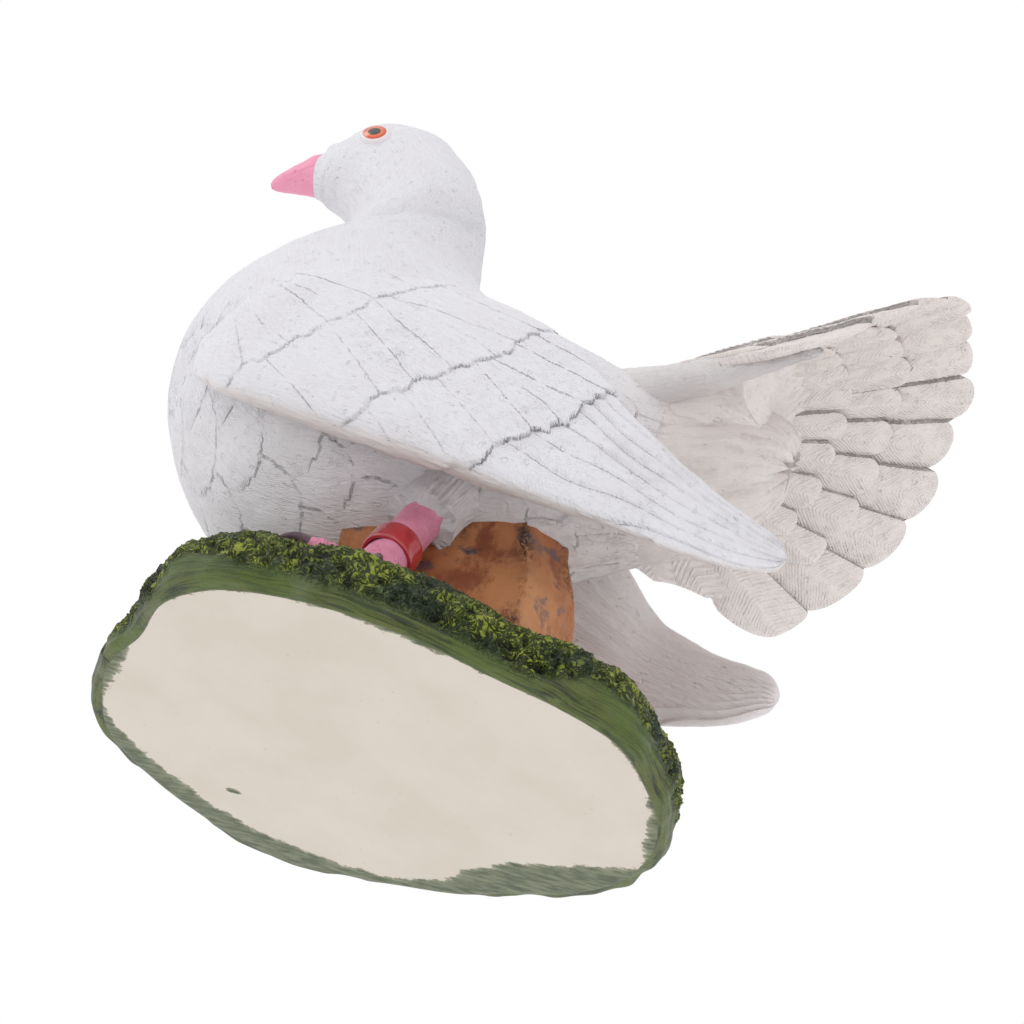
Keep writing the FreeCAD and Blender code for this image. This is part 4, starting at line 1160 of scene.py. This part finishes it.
def build_base():
    cols = 640
    ring, travelled = smooth_ring(BASE_OUTLINE, cols)
    tangent = np.roll(ring, -1, 0) - np.roll(ring, 1, 0)
    out = stack(tangent[:, 1], -tangent[:, 0])
    out = out / np.linalg.norm(out, axis=1, keepdims=True)
    profile = resample(BASE_PROFILE, 88)
    z, grow = profile[:, 0][:, None], profile[:, 1][:, None]
    points = stack(ring[None, :, 0] + out[None, :, 0] * grow, ring[None, :, 1] + out[None, :, 1] * grow,
                   z + 0 * travelled)
    level = 7.5 + 5.5 * noise(stack(travelled / 21, 0.0, 0.0), 101)[None]
    moss = ease(-2.0, 3.0, z - level)
    normals = outward(points)
    lumps = 1.6 * fractal(points, 17, 3, 102)
    tufts, pits = moss_height(points, 110)
    strokes = 0.6 * fractal(stack(travelled[None] / 26, 0.0, z / 1.5), 1.0, 3, 105)
    ripple = 1.0 * noise(stack(travelled[None] / 8, 0.0, 0 * z), 106) * ease(9, 3, z)
    relief = moss * tufts + lumps * ease(1.0, 8.0, z) + strokes * (1 - moss) + ripple
    points = points + normals * (relief * ease(0.1, 1.4, z))[..., None]
    points[..., 2] = np.maximum(points[..., 2], 0.0)
    rim_hub = points[0].mean(0)
    shares = np.linspace(0, 1, 53)[:-1][:, None]
    disc = rim_hub + (points[0] - rim_hub)[None] * shares[..., None]
    lower = np.concatenate([disc, points])
    flat = np.concatenate([np.ones(disc.shape[:2]), (z < 0.05) + 0 * travelled[None]])
    bare = inside_distance(lower[..., :2], BARE_OUTLINE)
    dab = np.hypot((lower[..., 0] - DAB[0]) / 1.0, (lower[..., 1] - DAB[1]) / 1.7) - 1.6
    bare = np.where(flat > 0.5, np.clip(np.minimum(bare, dab * 3), -30, 30), -60.0)
    wall = np.concatenate([np.ones(disc.shape[:2]), 1 - moss + 0 * travelled[None]])
    # depth of the pits in the moss, later darkened as near-black painted shade
    hollow = np.concatenate([np.zeros(disc.shape[:2]), pits * moss])
    drawn = stack(travelled[None] * 0.05, points[..., 2] * 1.1 + travelled[None] * 0.02, grow * 0.3)
    brush = np.concatenate([disc * 0.3, drawn])
    marks = {"ground": stack(bare, hollow, wall), "brush": brush}
    make_piece("base_ground", lower, grid_faces(len(lower), cols, True), MOSS, "base", marks)
    # the mossy top, inside the crown
    shares = np.linspace(1, 0.0, 90)[1:][:, None]
    hub = np.array([rim_hub[0], rim_hub[1], 27.2])
    top = hub + (points[-1] - hub)[None] * shares[..., None]
    tufts, pits = moss_height(top, 110)
    inner = ease(1.0, 0.93, shares) + 0 * travelled[None]
    top[..., 2] += (tufts * 0.7 + 0.8 * fractal(top, 19, 2, 109)) * inner
    crown = np.concatenate([points[-1:], top])
    pits = np.concatenate([pits[:1], pits])
    # the crown's pits get the same near-black painted shade
    marks = {"ground": stack(-60.0, pits, 0.0 * pits), "brush": crown * 0.3}
    make_piece("base_moss", crown, grid_faces(len(crown), cols, True), MOSS, "base", marks)


# ---------------------------------------------------------------- studio

def build_floor():
    """Pale floor just under the base. It is seen from above and open from below."""
    paint = Paint("floor_paint", 0.8, 0.1)
    paint.feed(paint.shader.inputs["Base Color"], paint.blend(
        paint.grain(paint.place(), 6.0, 2.0), (0.86, 0.86, 0.87), (0.90, 0.90, 0.91)))
    behind = paint.make("ShaderNodeNewGeometry", "Backfacing", {})
    clear = paint.make("ShaderNodeBsdfTransparent", 0, {})
    output = paint.tree.nodes["Material Output"]
    mix = paint.make("ShaderNodeMixShader", 0, {0: behind, 1: paint.shader.outputs[0], 2: clear})
    paint.tree.links.new(mix, output.inputs["Surface"])
    half = 3.0
    mesh = bpy.data.meshes.new("floor")
    corners = [(-half, -half, 0), (half, -half, 0), (half, half, 0), (-half, half, 0)]
    mesh.from_pydata(corners, [], [(0, 1, 2, 3)])
    mesh.materials.append(paint.material)
    floor = bpy.data.objects.new("floor", mesh)
    floor.location = (0, 0, -0.0006)
    floor.visible_shadow = False
    floor.visible_diffuse = False
    floor.visible_glossy = False
    bpy.context.scene.collection.objects.link(floor)


def build_camera():
    """The camera looks up at the bird's left side from below and behind its shoulder."""
    data = bpy.data.cameras.new("camera")
    data.sensor_width = 36.0
    data.lens = 78.17
    data.clip_start = 0.05
    camera = bpy.data.objects.new("camera", data)
    right = Vector((-0.06524618, 0.95175468, 0.29984324))
    up = Vector((0.61951983, -0.19692394, 0.75987903))
    back = Vector((0.78226473, 0.23533804, -0.57678236))
    turn = Matrix((right, up, back)).transposed().to_4x4()
    camera.matrix_world = Matrix.Translation(Vector((0.58832, 0.19382, -0.33054))) @ turn
    bpy.context.scene.collection.objects.link(camera)
    bpy.context.scene.camera = camera


def add_light(name, place, target, size, power, tint):
    data = bpy.data.lights.new(name, "AREA")
    data.size = size
    data.energy = power
    data.color = tint
    light = bpy.data.objects.new(name, data)
    light.location = place
    aim = Vector(target) - Vector(place)
    light.rotation_euler = aim.to_track_quat("-Z", "Y").to_euler()
    bpy.context.scene.collection.objects.link(light)


def build_lights():
    world = bpy.data.worlds.new("studio")
    world.use_nodes = True
    sky = world.node_tree.nodes["Background"]
    sky.inputs[0].default_value = (1.0, 1.0, 1.0, 1.0)
    sky.inputs[1].default_value = 1.0
    bpy.context.scene.world = world
    add_light("key", (0.5, -1.0, 0.9), (0, 0, 0.12), 0.5, 1.6, (1.0, 1.0, 1.0))
    add_light("side", (0.2, 1.3, -0.5), (0, 0, 0.1), 0.5, 1.0, (1.0, 0.97, 0.95))
    bpy.context.scene.view_settings.view_transform = "Standard"


body_points, body_normals = build_body()
build_undertail()
build_wing("left_wing_feathers", 1, "left_wing")
build_wing("right_wing_feathers", -1, "right_wing")
build_feather_row("tail_feathers", 12, 82.0, 1.0, 0.0, 3.6, 560, 84, 210, 0.065)
build_feather_row("long_tail_coverts", 10, 68.0, 0.78, 3.0, 2.6, 480, 72, 220, 0.10)
build_feather_row("short_tail_coverts", 9, 64.0, 0.60, 5.6, 2.6, 440, 60, 240, 0.12)
build_feather_row("upper_tail_coverts", 9, 76.0, 0.50, -1.8, 3.0, 380, 50, 230, 0.12)
build_tail_root()
build_rump()
build_fan_edge("left_fan_edge", 85.0, 7.6)
build_fan_web()
build_beak()
build_eye("left_eye_dome", 1, "left_eye", body_points, body_normals)
build_eye("right_eye_dome", -1, "right_eye", body_points, body_normals)
for side_name, side_sign in (("left", 1), ("right", -1)):
    build_thigh(side_name, side_sign)
    build_leg(side_name, side_sign)
    build_foot(side_name, side_sign)
build_ring()
build_rock()
build_base()
build_floor()
build_camera()
build_lights()
